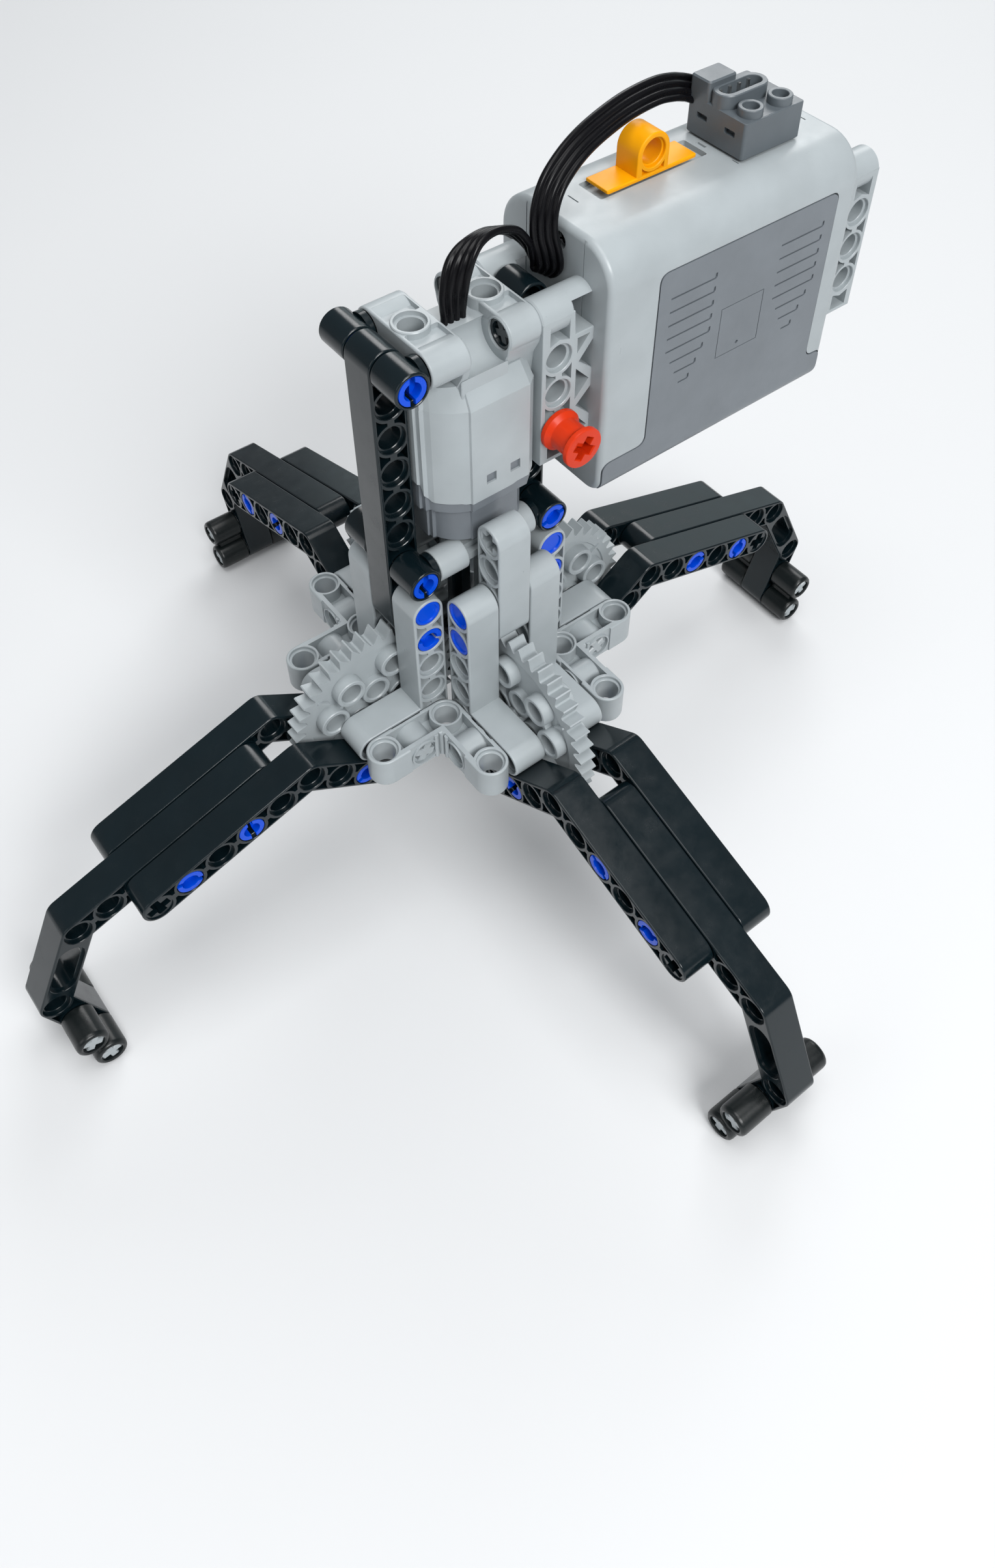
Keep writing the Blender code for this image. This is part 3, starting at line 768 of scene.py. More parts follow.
def axle_mesh(low, high, radius=2.4, mesh=None, centre=(0.0, 0.0), turn=0.0):
    """Cross-shaped axle with chamfered ends."""
    soft = 0.3
    shape = cross(centre, radius, 0.88, turn)
    small = cross(centre, radius - soft, 0.66, turn)
    return solid([(small, low), (shape, low + soft), (shape, high - soft), (small, high)], mesh)


# ---------------------------------------------------------------- frame

def build_frame_beams():
    for index, side in enumerate("abcd"):
        place = quarter(index)
        for layer, end in ((1, "left"), (-1, "right")):
            name = f"frame_beam_{side}_{end}"
            beam(f"{name}_moulding", name, [(4, 0), (2, 0), (2, 4)], layer * PITCH, "Y",
                 LIGHT_GREY, place)
            for height in (3, 4):
                spot = (2 * PITCH, layer * (PITCH + BEAM_HALF), height * PITCH)
                plain = height == 4 and side != "c" or end == "right"
                pin_end(f"pin_{side}_{end}_{height}", place, spot, layer,
                        0.6 + 1.1 * index + 0.7 * height, plain)
    for end, sign in (("front", 1), ("back", -1)):
        beam(f"upright_{end}_moulding", f"upright_beam_{end}", [(2 * sign, 3), (2 * sign, 11)],
             0.0, "Y", BLACK)
    for end, sign in (("near", 1), ("far", -1)):
        beam(f"short_{end}_moulding", f"short_beam_{end}", [(2 * sign, 3), (2 * sign, 6)],
             0.0, "X", LIGHT_GREY, crosses=[(1, 0.0)])


def drill(centre, base, shoulder, end):
    """Cutter for a hole counterbored from both ends, with heights each way from its middle."""
    return lathe(centre, ((COUNTERBORE, -end), (COUNTERBORE, -shoulder), (HOLE, -shoulder),
                          (HOLE, shoulder), (COUNTERBORE, shoulder), (COUNTERBORE, end)),
                 base=base)


def corner_shape():
    """Square corner connector for side a: collared holes, sunk arms and tubes across them."""
    half = 3.9
    here = 2 * PITCH
    place = Matrix()
    path = vectors(((4, 2), (2, 2), (2, 4)), PITCH)
    collar = 3.6
    bow = evenly(asin(2.35 / collar), -asin(2.75 / collar), 10)
    right, up = vectors(((1.0, 0.0), (0.0, 1.0)))
    features = [round_hole(spot, 2.5) for spot in path]
    features += [sunk(bowed(path[1], path[1] + here * along, inward, collar, bow), 3.2)
                 for along, inward in ((right, up), (up, right))]
    body = piece("corner_body", plate(bar(path, 3.75), features, half), LIGHT_GREY, place)
    waists = bmesh.new()
    start, end = here + 4.3, 2 * here - 4.3
    for side in (1, -1):
        a, b = sorted((here + side * 3.35, here + side * 5.0))
        for low, high in (((start, a), (end, b)), ((a, start), (b, end))):
            slab(rounded_box(low, high, 0.1), -half - 1.0, half + 1.0, waists)
    carve(body, (waists, "Z"), place=place)
    middle = (3 * PITCH, 0.0)
    tubes = [(lathe(middle, ((3.4, -3.72), (3.4, 3.72)), base=here, sides=40), axis)
             for axis in "XY"]
    carve(body, *tubes, place=place, operation="UNION")
    carve(body, *[(drill(middle, here, 2.95, 4.75), axis) for axis in "XY"], place=place)
    ribs = bmesh.new()
    for x, y in ((3.7, 3.7), (5.05, 3.45), (3.45, 5.05)):
        slab(circle((here + x, here + y), 0.5, 12), -3.6, 3.6, ribs)
    return carve(body, (ribs, "Z"), place=place, operation="UNION")


def build_corners():
    shape = corner_shape()
    for index, side in enumerate("abcd"):
        data = shape.data.copy()
        data.transform(METRES @ quarter(index) @ METRES.inverted())
        mount(add_object(f"corner_{side}_moulding", data), f"corner_connector_{side}")
    bpy.data.objects.remove(shape)


def tube_mesh(centre, low, high, radius=TUBE_RADIUS, cross_bore=False, mesh=None):
    """Round tube with a counterbored pin hole or an axle hole, between two heights."""
    feature = cross_hole(centre) if cross_bore else round_hole(centre)
    return plate(lambda inset: circle(centre, radius - inset, 36), [feature], (high - low) / 2,
                 (low + high) / 2, mesh=mesh)


def joiner(name, x, side, z, toward):
    """Black cross joiner: a tube along Y with a stub along X toward the middle, and its pin."""
    x, y = x * PITCH, side * PITCH
    low, high = sorted((y - side * 3.75, y + side * 3.9))
    item = piece(f"{name}_moulding", tube_mesh((x, z), low, high), BLACK, axis="Y")
    stub = lathe((y, z), ((3.3, toward * 2.7), (3.3, toward * 3.95)), base=x, sides=36)
    carve(item, (stub, "X"), operation="UNION")
    mount(item, name)
    pin_end(f"{name}_pin", UP, (x, y + side * 3.9, z), side, 0.9 + x * 0.04)


def build_joiners():
    for end, side in (("near", 1), ("far", -1)):
        joiner(f"top_joiner_{end}", 2, side, TOP_LEVEL, -1)
        joiner(f"lower_joiner_front_{end}", 2, side, LOWER_LEVEL, -1)
        joiner(f"lower_joiner_back_{end}", -2, side, LOWER_LEVEL, 1)
        outer = 2 * PITCH - 4.1
        inner = 0.62 * PITCH
        centre = (side * PITCH, LOWER_LEVEL)
        mesh = axle_mesh(-outer, outer, 2.3, centre=centre)
        for low, high in ((-outer, -inner), (inner, outer)):
            tube_mesh(centre, low, high, 3.45, True, mesh)
        mount(piece(f"spacer_{end}_tube", mesh, LIGHT_GREY, axis="X"), f"lower_spacer_{end}")
    top_connector("front", 1, 0.44, 1.47)
    top_connector("back", -1, -1.5, -0.64)


def top_connector(end, x, low, high):
    """Block with a collared upright hole between two axle tubes along X."""
    name = f"top_connector_{end}"
    low, high, z = low * PITCH, high * PITCH, TOP_LEVEL
    path = vectors(((-PITCH, z), (PITCH, z)))
    mesh = plate(bar(path, TUBE_RADIUS), [round_hole(spot) for spot in path], (high - low) / 2,
                 (low + high) / 2)
    item = piece(f"{name}_moulding", mesh, LIGHT_GREY, axis="X")
    pocket = bmesh.new()
    skin = bmesh.new()
    wall = 0.6
    for side in (1, -1):
        step = sorted((side * 2.6, side * 7.6))
        box = rounded_box((low + wall, step[0]), (high - wall, step[1]), 0.2)
        slab(box, z + 2.6, z + 2 * TUBE_RADIUS, pocket)
        start = pi / 2 if side > 0 else 0.0
        outside, inside = [arc((side * PITCH, z), radius, start, pi / 2, 12)
                           for radius in (TUBE_RADIUS, COUNTERBORE + 0.1)]
        slab(outside + inside[::-1], low + EDGE, high - EDGE, skin)
    here = (x * PITCH, 0.0)
    collar = lathe(here, ((3.6, -3.9), (3.6, 3.8), (3.45, 4.0)), base=z, sides=36)
    carve(item, (pocket, "Z"))
    carve(item, (skin, "X"), (collar, "Z"), operation="UNION")
    carve(item, (drill(here, z, 3.1, 5.0), "Z"))
    mount(item, name)


def build_cross_axles():
    """Black axles along X through the top connectors' tubes, with dished round ends."""
    for end, side in (("near", 1), ("far", -1)):
        centre = (side * PITCH, TOP_LEVEL)
        mesh = lathe(centre, ((2.3, -6.6), (2.95, -6.5), (2.95, -5.5), (2.8, -5.4),
                              (2.35, -5.45), (2.1, -6.2)))
        for low, high in ((-11.2, -5.8), (5.0, 11.2)):
            axle_mesh(low, high, mesh=mesh, centre=centre, turn=0.35)
        mount(piece(f"top_axle_{end}", mesh, BLACK, axis="X"))


# ---------------------------------------------------------------- legs and drive

def gear_outline(phase):
    """Toothed outline. A gap points along -x, turned upward by the phase."""
    step = 2 * pi / TOOTH_COUNT
    tip = GEAR_RADIUS + GEAR_MODULE
    root = GEAR_RADIUS - 1.25 * GEAR_MODULE
    tip_half = (TOOTH_THICKNESS / 2 - GEAR_MODULE * PRESSURE_SLOPE) / tip
    root_half = (TOOTH_THICKNESS / 2 + 1.25 * GEAR_MODULE * PRESSURE_SLOPE) / root
    flank = [(root, -root_half * 1.25), (root + 0.25, -root_half * 0.98),
             (tip - 0.2, -tip_half * 1.25), (tip, -tip_half * 0.8)]
    flank += [(radius, -offset) for radius, offset in flank[::-1]]
    outline = []
    for i in range(TOOTH_COUNT):
        middle = pi - phase + (i + 0.5) * step
        for radius, offset in flank:
            angle = middle + offset
            outline.append(Vector((radius * cos(angle), radius * sin(angle))))
    return outline


def boss(centre, floor, top):
    """Raised ring round a hole right through the gear."""
    outer, soft = 3.55, 0.2
    levels = ((outer, floor), (outer - 0.05, top - soft), (outer - soft, top),
              (HOLE + 1.5 * soft, top), (HOLE, top - 1.5 * soft))
    return [(circle(centre, radius), height) for radius, height in levels], True


def gear_mesh(phase):
    """Gear with a toothed rim, a lower disc inside a round step, and ringed holes."""
    floor = -0.4
    rim = 17.0
    turn = acos(0.8)
    teeth = gear_outline(phase)
    bosses = []
    for x, z, top in ((1.5, 0.5, 2.2), (0.5, 1.5, 2.2), (0.5, 0.5, 1.2)):
        bosses += [boss(turned(Vector((i * x, j * z)), -turn) * PITCH, floor, top)
                   for i in (1, -1) for j in (1, -1)]
    disc = [(circle((0, 0), rim, 72), 0.0), (circle((0, 0), rim - 0.25, 72), floor)], bosses
    mesh = plate(lambda inset: teeth, [disc], GEAR_HALF_WIDTH - 0.05, edge=0.0)
    for pair in range(4):
        angle = -turn + pair * pi / 2
        for spot, wide, long, depth in ((1.5, 0.45, 0.9, 3.3), (2.05, 1.6, 0.25, 2.35)):
            web = box_round(spot * PITCH, 0.0, wide, long, 0.1)
            slab([turned(point, angle) for point in web], -depth, depth, mesh)
    return mesh


def build_leg(index, side):
    hinge = (quarter(index) @ Matrix.Translation((GEAR_RADIAL * PITCH, 0.0, 0.0))
             @ Matrix.Rotation(LEG_DROOP, 4, "Y"))
    body = f"leg_{side}"
    phase = index * 2 * pi / TOOTH_COUNT / 4 - LEG_DROOP
    gear = piece(f"gear_{side}_moulding", gear_mesh(phase), LIGHT_GREY, hinge, "Y")
    mount(gear, f"leg_{side}_gear", body=body)
    reach = 19.55
    inner_end = 12.2 if side in "bd" else reach
    ends = (-reach, inner_end) if side == "d" else (-inner_end, reach)
    axle = piece(f"gear_axle_{side}", axle_mesh(*ends, turn=0.5), LIGHT_GREY, hinge, "Y")
    mount(axle, f"leg_{side}_gear_axle", body=body)
    build_outer_beams(side, index, body, hinge)
    build_shin(side, body, hinge)
    build_foot(side, body, hinge)


def build_outer_beams(side, index, body, hinge):
    """The two bent beams on both sides of the gear, and the pins through them."""
    path = [LEG_CORNER + 3 * SHORT_ARM, LEG_CORNER, LEG_CORNER + 5 * LONG_ARM]
    crosses = [(0, atan2(SHORT_ARM.y, SHORT_ARM.x)), (2, atan2(LONG_ARM.y, LONG_ARM.x))]
    pins = ((2 * SHORT_ARM, "gear"), (2 * LONG_ARM, "mid"), (4 * LONG_ARM, "end"))
    for layer, end in ((1, "left"), (-1, "right")):
        name = f"leg_{side}_outer_beam_{end}"
        beam(f"{name}_moulding", name, path, layer * PITCH, "Y", BLACK, hinge, crosses, body)
        for order, (offset, label) in enumerate(pins):
            place = (LEG_CORNER + offset) * PITCH
            spot = (place.x, layer * (PITCH + BEAM_HALF), place.y)
            pin_end(f"pin_leg_{side}_{label}_{end}", hinge, spot, layer,
                    0.4 + 1.2 * order + 0.8 * index, body=body)


def build_shin(side, body, hinge):
    """Double-bent beam: holes on its two straight arms and a slot in the slanted run."""
    path = vectors((LEG_CORNER + LONG_ARM, KNEE, ANKLE, TOE), PITCH)
    slot_ends = [path[1].lerp(path[2], share) for share in (0.33, 0.67)]
    slot = ((COUNTERBORE + RIM_SOFTNESS, 0.0), (COUNTERBORE, -RIM_SOFTNESS),
            (COUNTERBORE, -COUNTERBORE_DEPTH), (HOLE, -COUNTERBORE_DEPTH))
    features = beam_features(path[:2]) + beam_features(path[2:])
    features.append(([(path_outline(slot_ends, radius, 10), height) for radius, height in slot],
                     True))
    mesh = plate(bar(path, BEAM_RADIUS), features, BEAM_HALF)
    shin = piece(f"shin_{side}_moulding", mesh, BLACK, hinge, "Y")
    mount(shin, f"leg_{side}_middle_beam", body=body)


def build_foot(side, body, hinge):
    """Double rubber sleeve on each side of the shin, on two light grey axles."""
    places = vectors((ANKLE + SHIN, TOE), PITCH)
    profile = ((3.35, 4.05), (3.68, 4.4), (3.7, 11.5), (3.55, 12.15), (3.2, 12.5), (2.9, 12.6),
               (2.5, 12.45), (2.45, 9.6), (2.45, 5.05), (2.45, 4.05))
    middle = (places[0] + places[1]) / 2
    along = (places[1] - places[0]).normalized() * 1.2
    across = Vector((-along.y, along.x)) * 1.3 / 1.2
    web = [middle + along * i + across * j for i, j in ((-1, -1), (1, -1), (1, 1), (-1, 1))]
    sleeves = bmesh.new()
    axles = bmesh.new()
    for order, place in enumerate(places):
        for sign in (1, -1):
            rings = [add_ring(sleeves, circle(place, radius, 36), sign * height)
                     for radius, height in profile]
            bridge(sleeves, rings + rings[:1])
        axle_mesh(-12.1, 12.1, mesh=axles, centre=place, turn=0.5 + 0.9 * order)
    for sign in (1, -1):
        slab(web, sign * 4.35, sign * 11.0, sleeves)
    foot = piece(f"foot_{side}_sleeves", sleeves, RUBBER, hinge, "Y")
    mount(foot, f"leg_{side}_foot", body=body)
    mount(piece(f"foot_{side}_axles", axles, LIGHT_GREY, hinge, "Y"), body=body)


def build_worm():
    """Axle with a worm: one thread wound round a core."""
    root = WORM_RADIUS - 1.35
    crest = WORM_RADIUS + 0.75
    thickness = 0.8
    steps = 40
    mesh = slab(circle((0, 0), root, 40), -WORM_HALF_LENGTH, WORM_HALF_LENGTH)
    axle_mesh(-1.6 * PITCH, 5.5 * PITCH, mesh=mesh)
    low_half = thickness / 2 + 1.35 * PRESSURE_SLOPE
    high_half = thickness / 2 - 0.75 * PRESSURE_SLOPE
    section = [(root - 0.3, -low_half), (crest - 0.15, -high_half), (crest, -high_half * 0.6)]
    section += [(radius, -height) for radius, height in section[::-1]]
    count = int(2 * (WORM_HALF_LENGTH - low_half) / WORM_LEAD * steps)
    rows = []
    for i in range(count + 1):
        turn = (i - count // 2) / steps
        cosine, sine = cos(turn * 2 * pi), sin(turn * 2 * pi)
        rows.append([mesh.verts.new((r * cosine, r * sine, turn * WORM_LEAD + z))
                     for r, z in section])
    mount(piece("worm_screw", closed(mesh, rows), BLACK), "worm", body="worm")


# ---------------------------------------------------------------- motor

def smooth_step(low, high, value):
    t = max(0.0, min(1.0, (value - low) / (high - low)))
    return t * t * (3 - 2 * t)


def motor_outline():
    """Cross-section of the motor: flat Y panels, round corners with ribs, slanted facets."""
    ribs = ((1.49, 0.58), (1.42, 0.60), (1.42, 0.74), (1.31, 0.76), (1.24, 0.90))
    panel = ((0.53, 1.49), (-1.16, 1.49), (-1.42, 1.28), (-1.49, 1.10))
    points = vectors(ribs, PITCH)
    points += arc((0.0, 0.0), MOTOR_ROUND, radians(39.0), radians(30.0), 7)
    points += vectors(panel, PITCH)
    points += [-point for point in points]
    return divided(points, longest=1.0)


def build_motor():
    """Light case with a sloped shoulder and neck over a dark gear end, with latch windows."""
    outline = motor_outline()

    def rise(point):
        """Height of the case's lower edge: arched at its ends, with a small step on its panels."""
        side = smooth_step(1.2 * PITCH, 1.45 * PITCH, abs(point.x))
        arch = 0.5 * PITCH * side * (1.0 - smooth_step(0.55 * PITCH, 0.9 * PITCH, abs(point.y)))
        return arch - 0.3 * (smooth_step(-0.75 * PITCH, -0.65 * PITCH, -abs(point.x)) - 0.5)

    mesh = bmesh.new()
    rings = []
    for scale, height in ((0.94, 0.6), (0.985, 0.0), (1.0, 0.2)):
        rings.append([mesh.verts.new((p.x * scale, p.y * scale, MOTOR_SPLIT + height + rise(p)))
                      for p in outline])
    for across, deep, height in ((1.0, 1.0, MOTOR_SHOULDER - 0.25),
                                 (0.985, 0.985, MOTOR_SHOULDER + 0.15), (0.93, 0.80, MOTOR_NECK)):
        rings.append(add_ring(mesh, [(p.x * across, p.y * deep) for p in outline], height))
    case = piece("motor_shell", closed(mesh, rings), LIGHT_GREY)
    windows = []
    for x in (-0.03, -0.74):
        window = bmesh.new()
        square = box_round(x * PITCH, 7.475 * PITCH, 0.145 * PITCH, 0.145 * PITCH, 0.12, 2)
        for sign in (1, -1):
            slab(square, sign * (MOTOR_SIDE - 1.0), sign * (MOTOR_SIDE + 1.0), window)
        windows.append((window, "Y"))
    carve(case, *windows)
    case.data.set_sharp_from_angle(angle=radians(11.0))
    mount(case, "motor_case")
    build_neck()
    base = solid([([Vector((p.x * across, p.y * deep)) for p in outline], start + height)
                  for across, deep, start, height in (
                      (0.80, 0.85, MOTOR_BOTTOM, 0.0), (0.82, 0.87, MOTOR_BOTTOM, 0.3),
                      (0.82, 0.87, MOTOR_SPLIT, -2.6), (0.95, 0.95, MOTOR_SPLIT, -2.5),
                      (0.97, 0.97, MOTOR_SPLIT, -2.2), (0.97, 0.97, MOTOR_SPLIT, 0.4),
                      (0.955, 0.955, MOTOR_SPLIT, 5.4), (0.6, 0.6, MOTOR_SPLIT, 5.4))])
    mount(piece("motor_gear_end", base, DARK_GREY, angle=24.0), "motor_base")


def build_neck():
    """Motor's upper end, hollowed along both sides, with ears that carry the axle tubes."""
    hollow = arc((1.0, 11.0), 0.62, radians(-64.0), radians(-134.0), 22)
    middle = [Vector((1.27, 9.6)), *hollow, Vector((0.45, 11.2))]
    middle += [Vector((-point.x, point.y)) for point in middle[::-1]]
    ear = vectors(((0.36, 9.6), (1.05, 9.6), (1.15, 10.25), (1.34, 10.6)))
    ear += arc((1.0, 11.0), 0.43, radians(-25.0), radians(175.0), 16)
    ear.append(Vector((0.36, 11.1)))
    twin = [Vector((-point.x, point.y)) for point in ear]
    soft = 0.15
    for name, section, low, high in (("motor_neck", middle, -0.7, 0.6),
                                     ("motor_ear_back_near", ear, -1.53, -0.62),
                                     ("motor_ear_back_far", twin, -1.53, -0.62),
                                     ("motor_ear_front_near", ear, 0.42, 0.62),
                                     ("motor_ear_front_far", twin, 0.42, 0.62)):
        low, high = low * PITCH, high * PITCH
        shape = vectors(section, PITCH)
        small = inset_outline(shape, soft)
        mesh = solid([(small, low), (shape, low + soft), (shape, high - soft), (small, high)])
        item = piece(name, mesh, LIGHT_GREY, axis="X", angle=24.0)
        if section is not middle:
            spot = (copysign(PITCH, section[1].x), TOP_LEVEL)
            hole = slab(circle(spot, 3.0), low - 0.1 * PITCH, high + 0.1 * PITCH)
            carve(item, (hole, "X"))
        mount(item)


# ---------------------------------------------------------------- battery box

def box_body(grow, near, far):
    """Rounded block of the box between two ends, with large top corners."""
    edge = 1.3
    curve = [(edge * (1 - cos(a)), edge * (1 - sin(a))) for a in evenly(0.0, pi / 2, 5)]
    stack = [(inset, far + step) for inset, step in curve[::-1]]
    stack += [(inset, near - step) for inset, step in curve]
    levels = []
    for inset, x in stack:
        wide = BOX_SIDE + grow - inset
        radii = [size + grow - inset for size in (4.0, 4.0, 8.4, 8.4)]
        levels.append((rounded_box((-wide, BOX_BOTTOM - grow + inset),
                                   (wide, BOX_TOP + grow - inset), radii, 10), x))
    return solid(levels)


def lid_outline(grow):
    """Lid on the box's side. Its lowest strip runs to both ends."""
    bottom = BOX_BOTTOM - PITCH
    strip = 6.5 * PITCH + grow
    top = 11.44 * PITCH + grow
    near_edge = -4.5 * PITCH + grow
    far_edge = -10.33 * PITCH - grow
    start = BOX_NEAR - 0.9 + grow
    end = BOX_FAR + 0.7 - grow
    points = ((start, bottom), (start, strip), (near_edge, strip), (near_edge, top),
              (far_edge, top), (far_edge, strip), (end, strip), (end, bottom))
    return softened(vectors(points), 2.2, 7)


LUG_OUTLINE = [(-0.49, 7.0), (0.47, 7.0), (0.52, 7.08), (1.07, 7.42), (1.07, 7.86), (0.58, 8.35),
               (1.07, 8.80), (1.07, 9.24), (0.61, 9.64), (1.07, 10.17), (1.07, 10.46),
               (0.47, 10.46), (0.44, 11.1), (-0.49, 11.1)]
LUG_OPENINGS = [
    [(-0.28, 10.42), (0.0, 10.52), (0.29, 10.42), (0.29, 10.98), (-0.28, 10.94)],
    [(-0.28, 7.12), (0.29, 7.12), (0.29, 7.58), (0.0, 7.48), (-0.28, 7.58)],
    [(0.53, 9.90), (0.9, 10.33), (0.53, 10.33)],
    [(0.52, 8.57), (0.93, 9.02), (0.52, 9.47)],
    [(0.52, 7.25), (0.93, 7.62), (0.52, 8.12)],
]


def build_lug(name, column, toward, side):
    """Ribbed lug: pin holes, pockets, zigzag bracing, and a round tube along its top."""
    half = 3.85
    middle = column * PITCH

    def placed(points):
        return vectors([(column + toward * u, z) for u, z in points], PITCH)

    edge = placed(LUG_OUTLINE)
    holes = placed(((0.0, 8), (0.0, 9), (0.0, 10)))
    features = [round_hole(place) for place in holes]
    features += pockets(*holes[:2]) + pockets(*holes[1:])
    features += [sunk(placed(opening), 3.1) for opening in LUG_OPENINGS]
    mesh = plate(lambda inset: inset_outline(edge, inset), features, half, side * PITCH, 0.25)
    item = piece(name, mesh, LIGHT_GREY, axis="Y")
    spot = (side * PITCH, TOP_LEVEL)
    tube = lathe(spot, ((3.55, -3.95 * toward), (3.85, -3.65 * toward), (3.85, 3.1 * toward),
                        (3.55, 3.4 * toward)), base=middle, sides=40)
    crown = arc(spot, half, radians(42.0), radians(96.0), 20)
    tongue = slab(crown, middle + toward * 3.0, middle + toward * 8.6)
    mount(carve(item, (tube, "X"), (tongue, "X"), operation="UNION"))


def build_battery_box():
    box = piece("battery_housing", box_body(0.0, BOX_NEAR, BOX_FAR), LIGHT_GREY, axis="X",
                angle=24.0)
    recesses = [(slab(lid_outline(0.22), sign * (BOX_SIDE - 1.4),
                      sign * (BOX_SIDE + PITCH)), "Y") for sign in (1, -1)]
    slot = rounded_box((-7.58 * PITCH, -0.76 * PITCH), (-4.28 * PITCH, 0.07 * PITCH), 0.5, 3)
    well = slab(slot, BOX_TOP - 1.1, BOX_TOP + 1.0)
    screw_hole = lathe(SCREW, ((1.75, -2.2), (1.75, -0.2), (2.0, 1.0)), base=BOX_NEAR)
    grooves = bmesh.new()
    for x, y, wide, long in ((-7.74, -0.33, 0.7, 2.4), (-7.85, 0.72, 0.3, 1.8),
                             (-9.1, 1.55, 0.25, 2.0), (-3.8, -0.35, 0.3, 3.0),
                             (-10.6, 0.2, 0.3, 2.4)):
        mark = box_round(x * PITCH, y * PITCH, wide / 2, long / 2, 0.08)
        slab(mark, BOX_TOP - 0.4, BOX_TOP + 1.0, grooves)
    seam = bmesh.new()
    for y in (1.02, -1.02):
        line = box_round(y * PITCH, 9.15 * PITCH, 0.12, 3.45 * PITCH, 0.05)
        slab(line, BOX_NEAR - 0.18, BOX_NEAR + 1.0, seam)
        slab(line, BOX_FAR - 1.0, BOX_FAR + 0.18, seam)
    carve(box, *recesses, (well, "Z"), (screw_hole, "X"), (grooves, "Z"), (seam, "X"))
    mount(box, "battery_box")
    for end, side in (("near", 1), ("far", -1)):
        build_lug(f"lug_front_{end}", -2, -1, side)
        build_lug(f"lug_back_{end}", -12, 1, side)
    screw = lathe(SCREW, ((1.55, -2.1), (1.55, -1.3), (1.2, -0.95), (0.5, -0.85)), base=BOX_NEAR)
    slot = slab(cross(SCREW, 1.0, 0.2, 0.4), BOX_NEAR - 1.5, BOX_NEAR)
    mount(carve(piece("box_screw", screw, STEEL_DARK, axis="X"), (slot, "X")))
    build_lid("near", 1)
    build_lid("far", -1)


def build_lid(end, sign):
    """Dark lid with two columns of hooked grip lines round a faint square."""
    outline = lid_outline(0.0)
    block = slab(outline, sign * (BOX_SIDE - 1.3), sign * (BOX_SIDE + PITCH))
    lid = piece(f"lid_{end}_moulding", block, DARK_GREY, axis="Y", angle=24.0)
    shell = box_body(0.12, BOX_NEAR + 0.1, BOX_FAR - 0.1)
    carve(lid, (shell, "X"), operation="INTERSECT")
    face = BOX_SIDE + 0.12
    lines = bmesh.new()

    def cut(shape, depth):
        slab(shape, sign * (face - depth), sign * (face + 1.0), lines)

    for near in (-4.88, -8.5):
        for row in range(8):
            z = (10.66 - 0.38 * row) * PITCH
            shrink = max(0, row - 4) * 0.185
            start = (near - shrink) * PITCH
            finish = (near - 1.42 + shrink) * PITCH
            hook = ((start, -0.2), (start, 0.2), (finish + 0.3, 0.2),
                    (finish + 0.15, 1.1), (finish - 0.35, 1.1),
                    (finish - 0.35, 0.1), (finish, -0.2))
            cut([Vector((x, z + step)) for x, step in hook], 0.3)
    left, right, low, high = -8.11 * PITCH, -6.68 * PITCH, 8.15 * PITCH, 9.6 * PITCH
    thin = 0.09
    lines_of_square = [((left - thin, z - thin), (right + thin, z + thin)) for z in (low, high)]
    lines_of_square += [((x - thin, low + 1.2 * thin), (x + thin, high - 1.2 * thin))
                        for x in (right, left)]
    for corners in lines_of_square:
        cut(rounded_box(*corners, thin / 2), 0.12)
    cut(circle((-7.39 * PITCH, 8.35 * PITCH), 0.4, 12), 0.3)
    mount(carve(lid, (lines, "Y")), f"battery_lid_{end}")


# ---------------------------------------------------------------- switch, plug, bush

def build_switch():
    """Sliding plate with an upright ear that has a pin hole."""
    half = 3.1
    length = 11.0
    ear = Vector((0.0, 4.8))
    reach = 3.9
    edge = 0.3

    def base(inset):
        side, top = length - inset, 1.0 - inset
        points = ((-side, edge), (side, edge), (side, top), (-side, top))
        return softened(vectors(points), 0.2, 3)

    def ear_outline(inset):
        side = reach - inset
        return arc(ear, side, 0.0, pi, 22) + vectors(((-side, 0.6), (side, 0.6)))

    place = UP @ Matrix.Translation(SWITCH_PLACE)
    item = piece("switch_slider", plate(base, [], half, edge=edge), ORANGE, place, "Y")
    under = arc(ear, 3.55, radians(-142.0), radians(104.0), 14)
    under += vectors(((2.7, 1.1), (-2.7, 1.1)))
    features = [round_hole(ear, 2.5, 2.85, 0.7), sunk(under, 0.7)]
    block = plate(ear_outline, features, half - 0.05, edge=edge)
    carve(item, (block, "Y"), place=place, operation="UNION")
    mount(item, "power_switch", body="switch")


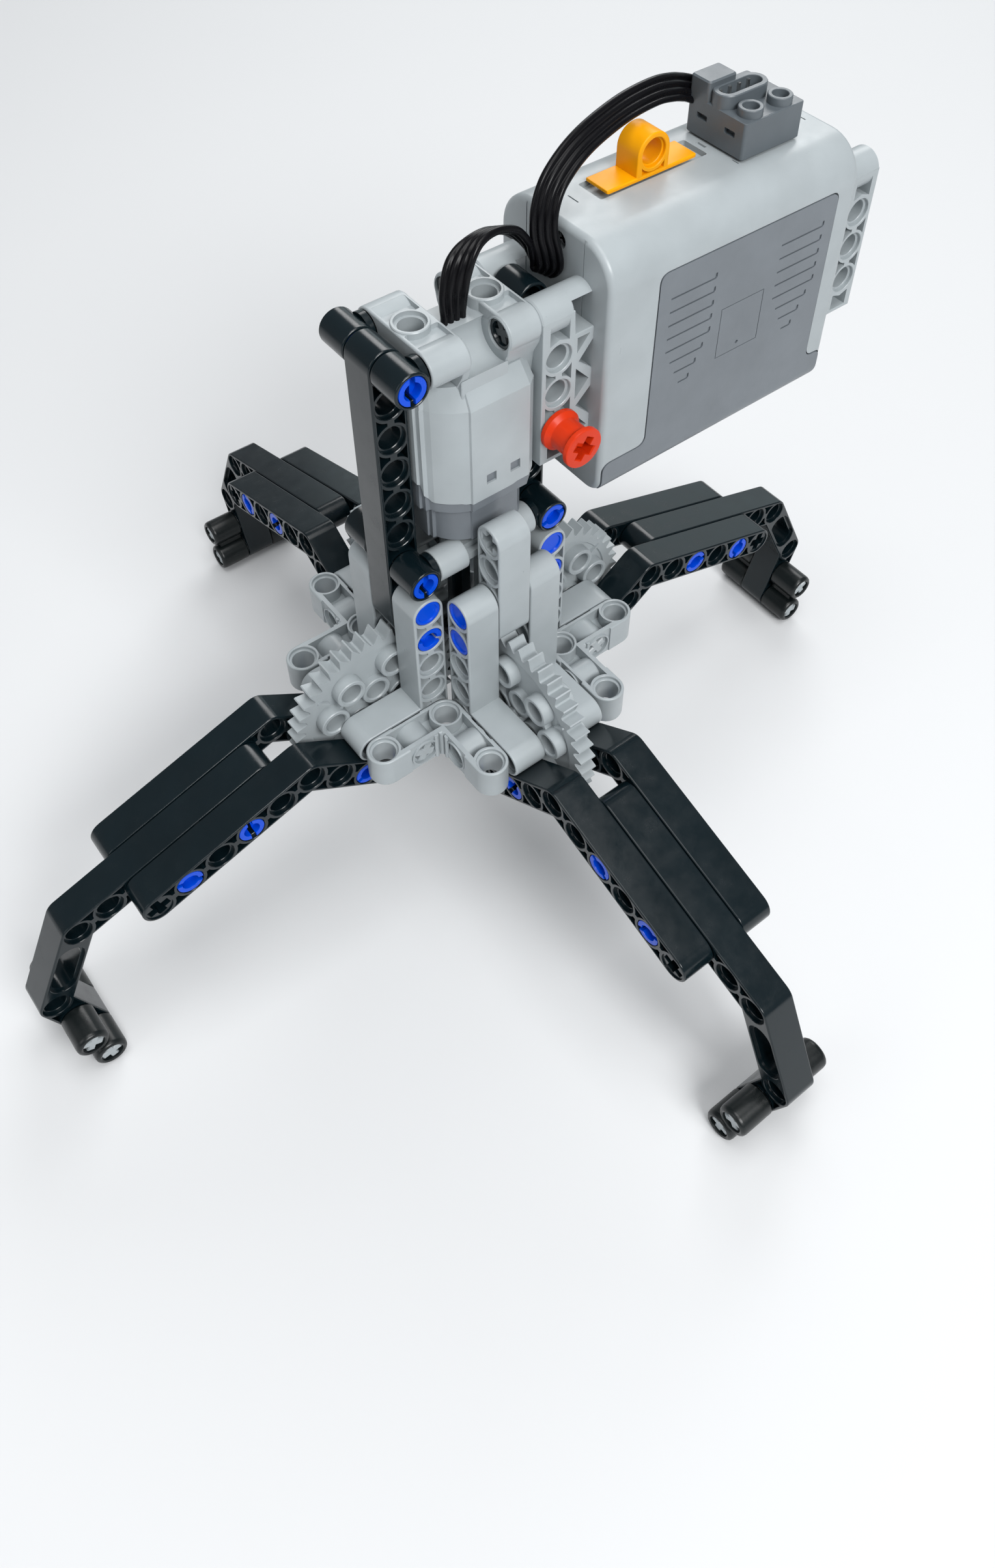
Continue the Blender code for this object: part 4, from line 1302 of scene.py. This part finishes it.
def build_plug():
    """Two-by-two electric plug: studs, a contact channel, slots and the cable's block."""
    half = 7.7
    bottom = BOX_TOP + 0.3
    top = 13.46 * PITCH
    block_top = 13.95 * PITCH
    edge = 0.3
    place = UP @ Matrix.Translation(PLUG_PLACE)

    def square(inset, low=(-half, -half), high=(half, half)):
        return rounded_box((low[0] + inset, low[1] + inset), (high[0] - inset, high[1] - inset),
                           0.7 - inset, 4)

    body = solid([(square(edge), bottom), (square(0.0), bottom + edge), (square(0.0), top - edge),
                  (square(0.13 * edge), top - 0.5 * edge), (square(edge), top)])
    # The plug's grey is the lid's dark grey darkened as painted shade.
    plug = piece("plug_body", body, PLUG_SHADED_GREY, place)
    corners = (0.6, -half), (half, -2.5)
    block = solid([(square(0.0, *corners), top - 1.5),
                   (square(0.0, *corners), block_top - edge), (square(edge, *corners), block_top)])
    studs = bmesh.new()
    for x in (4.2, -3.5):
        lathe((x, 5.0), ((2.42, -0.5), (2.42, 1.45), (2.28, 1.6), (1.7, 1.6),
                                   (1.6, 1.5), (1.55, 0.2)), studs, top)
    middle = -0.5
    ends = vectors(((5.0, middle), (-1.7, middle)))
    channel = solid([(path_outline(ends, radius, 10), top + height)
                     for radius, height in ((2.75, -0.5), (2.75, 2.5), (2.6, 2.7), (1.75, 2.7),
                                            (1.65, 2.6), (1.6, 0.3))])
    carve(plug, (block, "Z"), (studs, "Z"), (channel, "Z"), place=place, operation="UNION")
    slots = bmesh.new()
    for y in (-0.46, 0.47):
        shape = box_round(y * PITCH, 13.07 * PITCH, 0.17 * PITCH, 0.07 * PITCH, 0.1)
        for side in (1, -1):
            slab(shape, side * (half - 1.2), side * (half + 1.0), slots)
    carve(plug, (slots, "X"), place=place)
    mount(plug, "plug")
    contacts = bmesh.new()
    for i in range(4):
        for y in (middle - 1.45, middle + 1.45):
            strip = box_round(5.3 - 2.4 * i, y, 0.3, 0.3, 0.1, 2)
            slab(strip, top + 0.2, top + 2.1, contacts)
    metal = mount(piece("plug_contacts", contacts, STEEL, place))
    return plug, metal


def build_bush():
    """Flanged bush with a cross-shaped bore, on the axle in the lug's lowest hole."""
    start, end = 12.2, 20.0
    centre = Vector((-2 * PITCH, 8 * PITCH))
    bore = divided(cross(centre, 2.5, 0.98, 0.6), 3)
    flange = ((4.4, 0.5), (4.35, 1.1), (3.9, 1.5), (3.45, 2.0), (3.35, 2.6))
    profile = [(3.9, start), (4.35, start + 0.15)]
    profile += [(radius, start + step) for radius, step in flange]
    profile += [(radius, end - step) for radius, step in flange[::-1]]
    profile += [(4.3, end - 0.15), (4.05, end)]
    levels = [([centre + (point - centre).normalized() * radius for point in bore], height)
              for radius, height in profile]
    levels += [([centre + (point - centre) * 1.08 for point in bore], end),
               (bore, end - 0.25), (bore, start)]
    mesh = bmesh.new()
    rings = [add_ring(mesh, points, height) for points, height in levels]
    bridge(mesh, rings + rings[:1])
    mount(piece("bush_moulding", mesh, RED, axis="Y"), "red_bush")
    axle = axle_mesh(-11.5, end - 2.2, centre=centre, turn=0.6)
    mount(piece("bush_axle", axle, RED, axis="Y"))


# ---------------------------------------------------------------- assembly

bpy.context.scene.view_settings.view_transform = "Standard"
build_camera()
build_studio()
build_frame_beams()
build_corners()
build_joiners()
build_cross_axles()
for leg_index, leg_side in enumerate("abcd"):
    build_leg(leg_index, leg_side)
build_worm()
build_motor()
build_battery_box()
build_switch()
plug, plug_contacts = build_plug()
build_bush()
cable, cable_path, cable_length = build_cable()
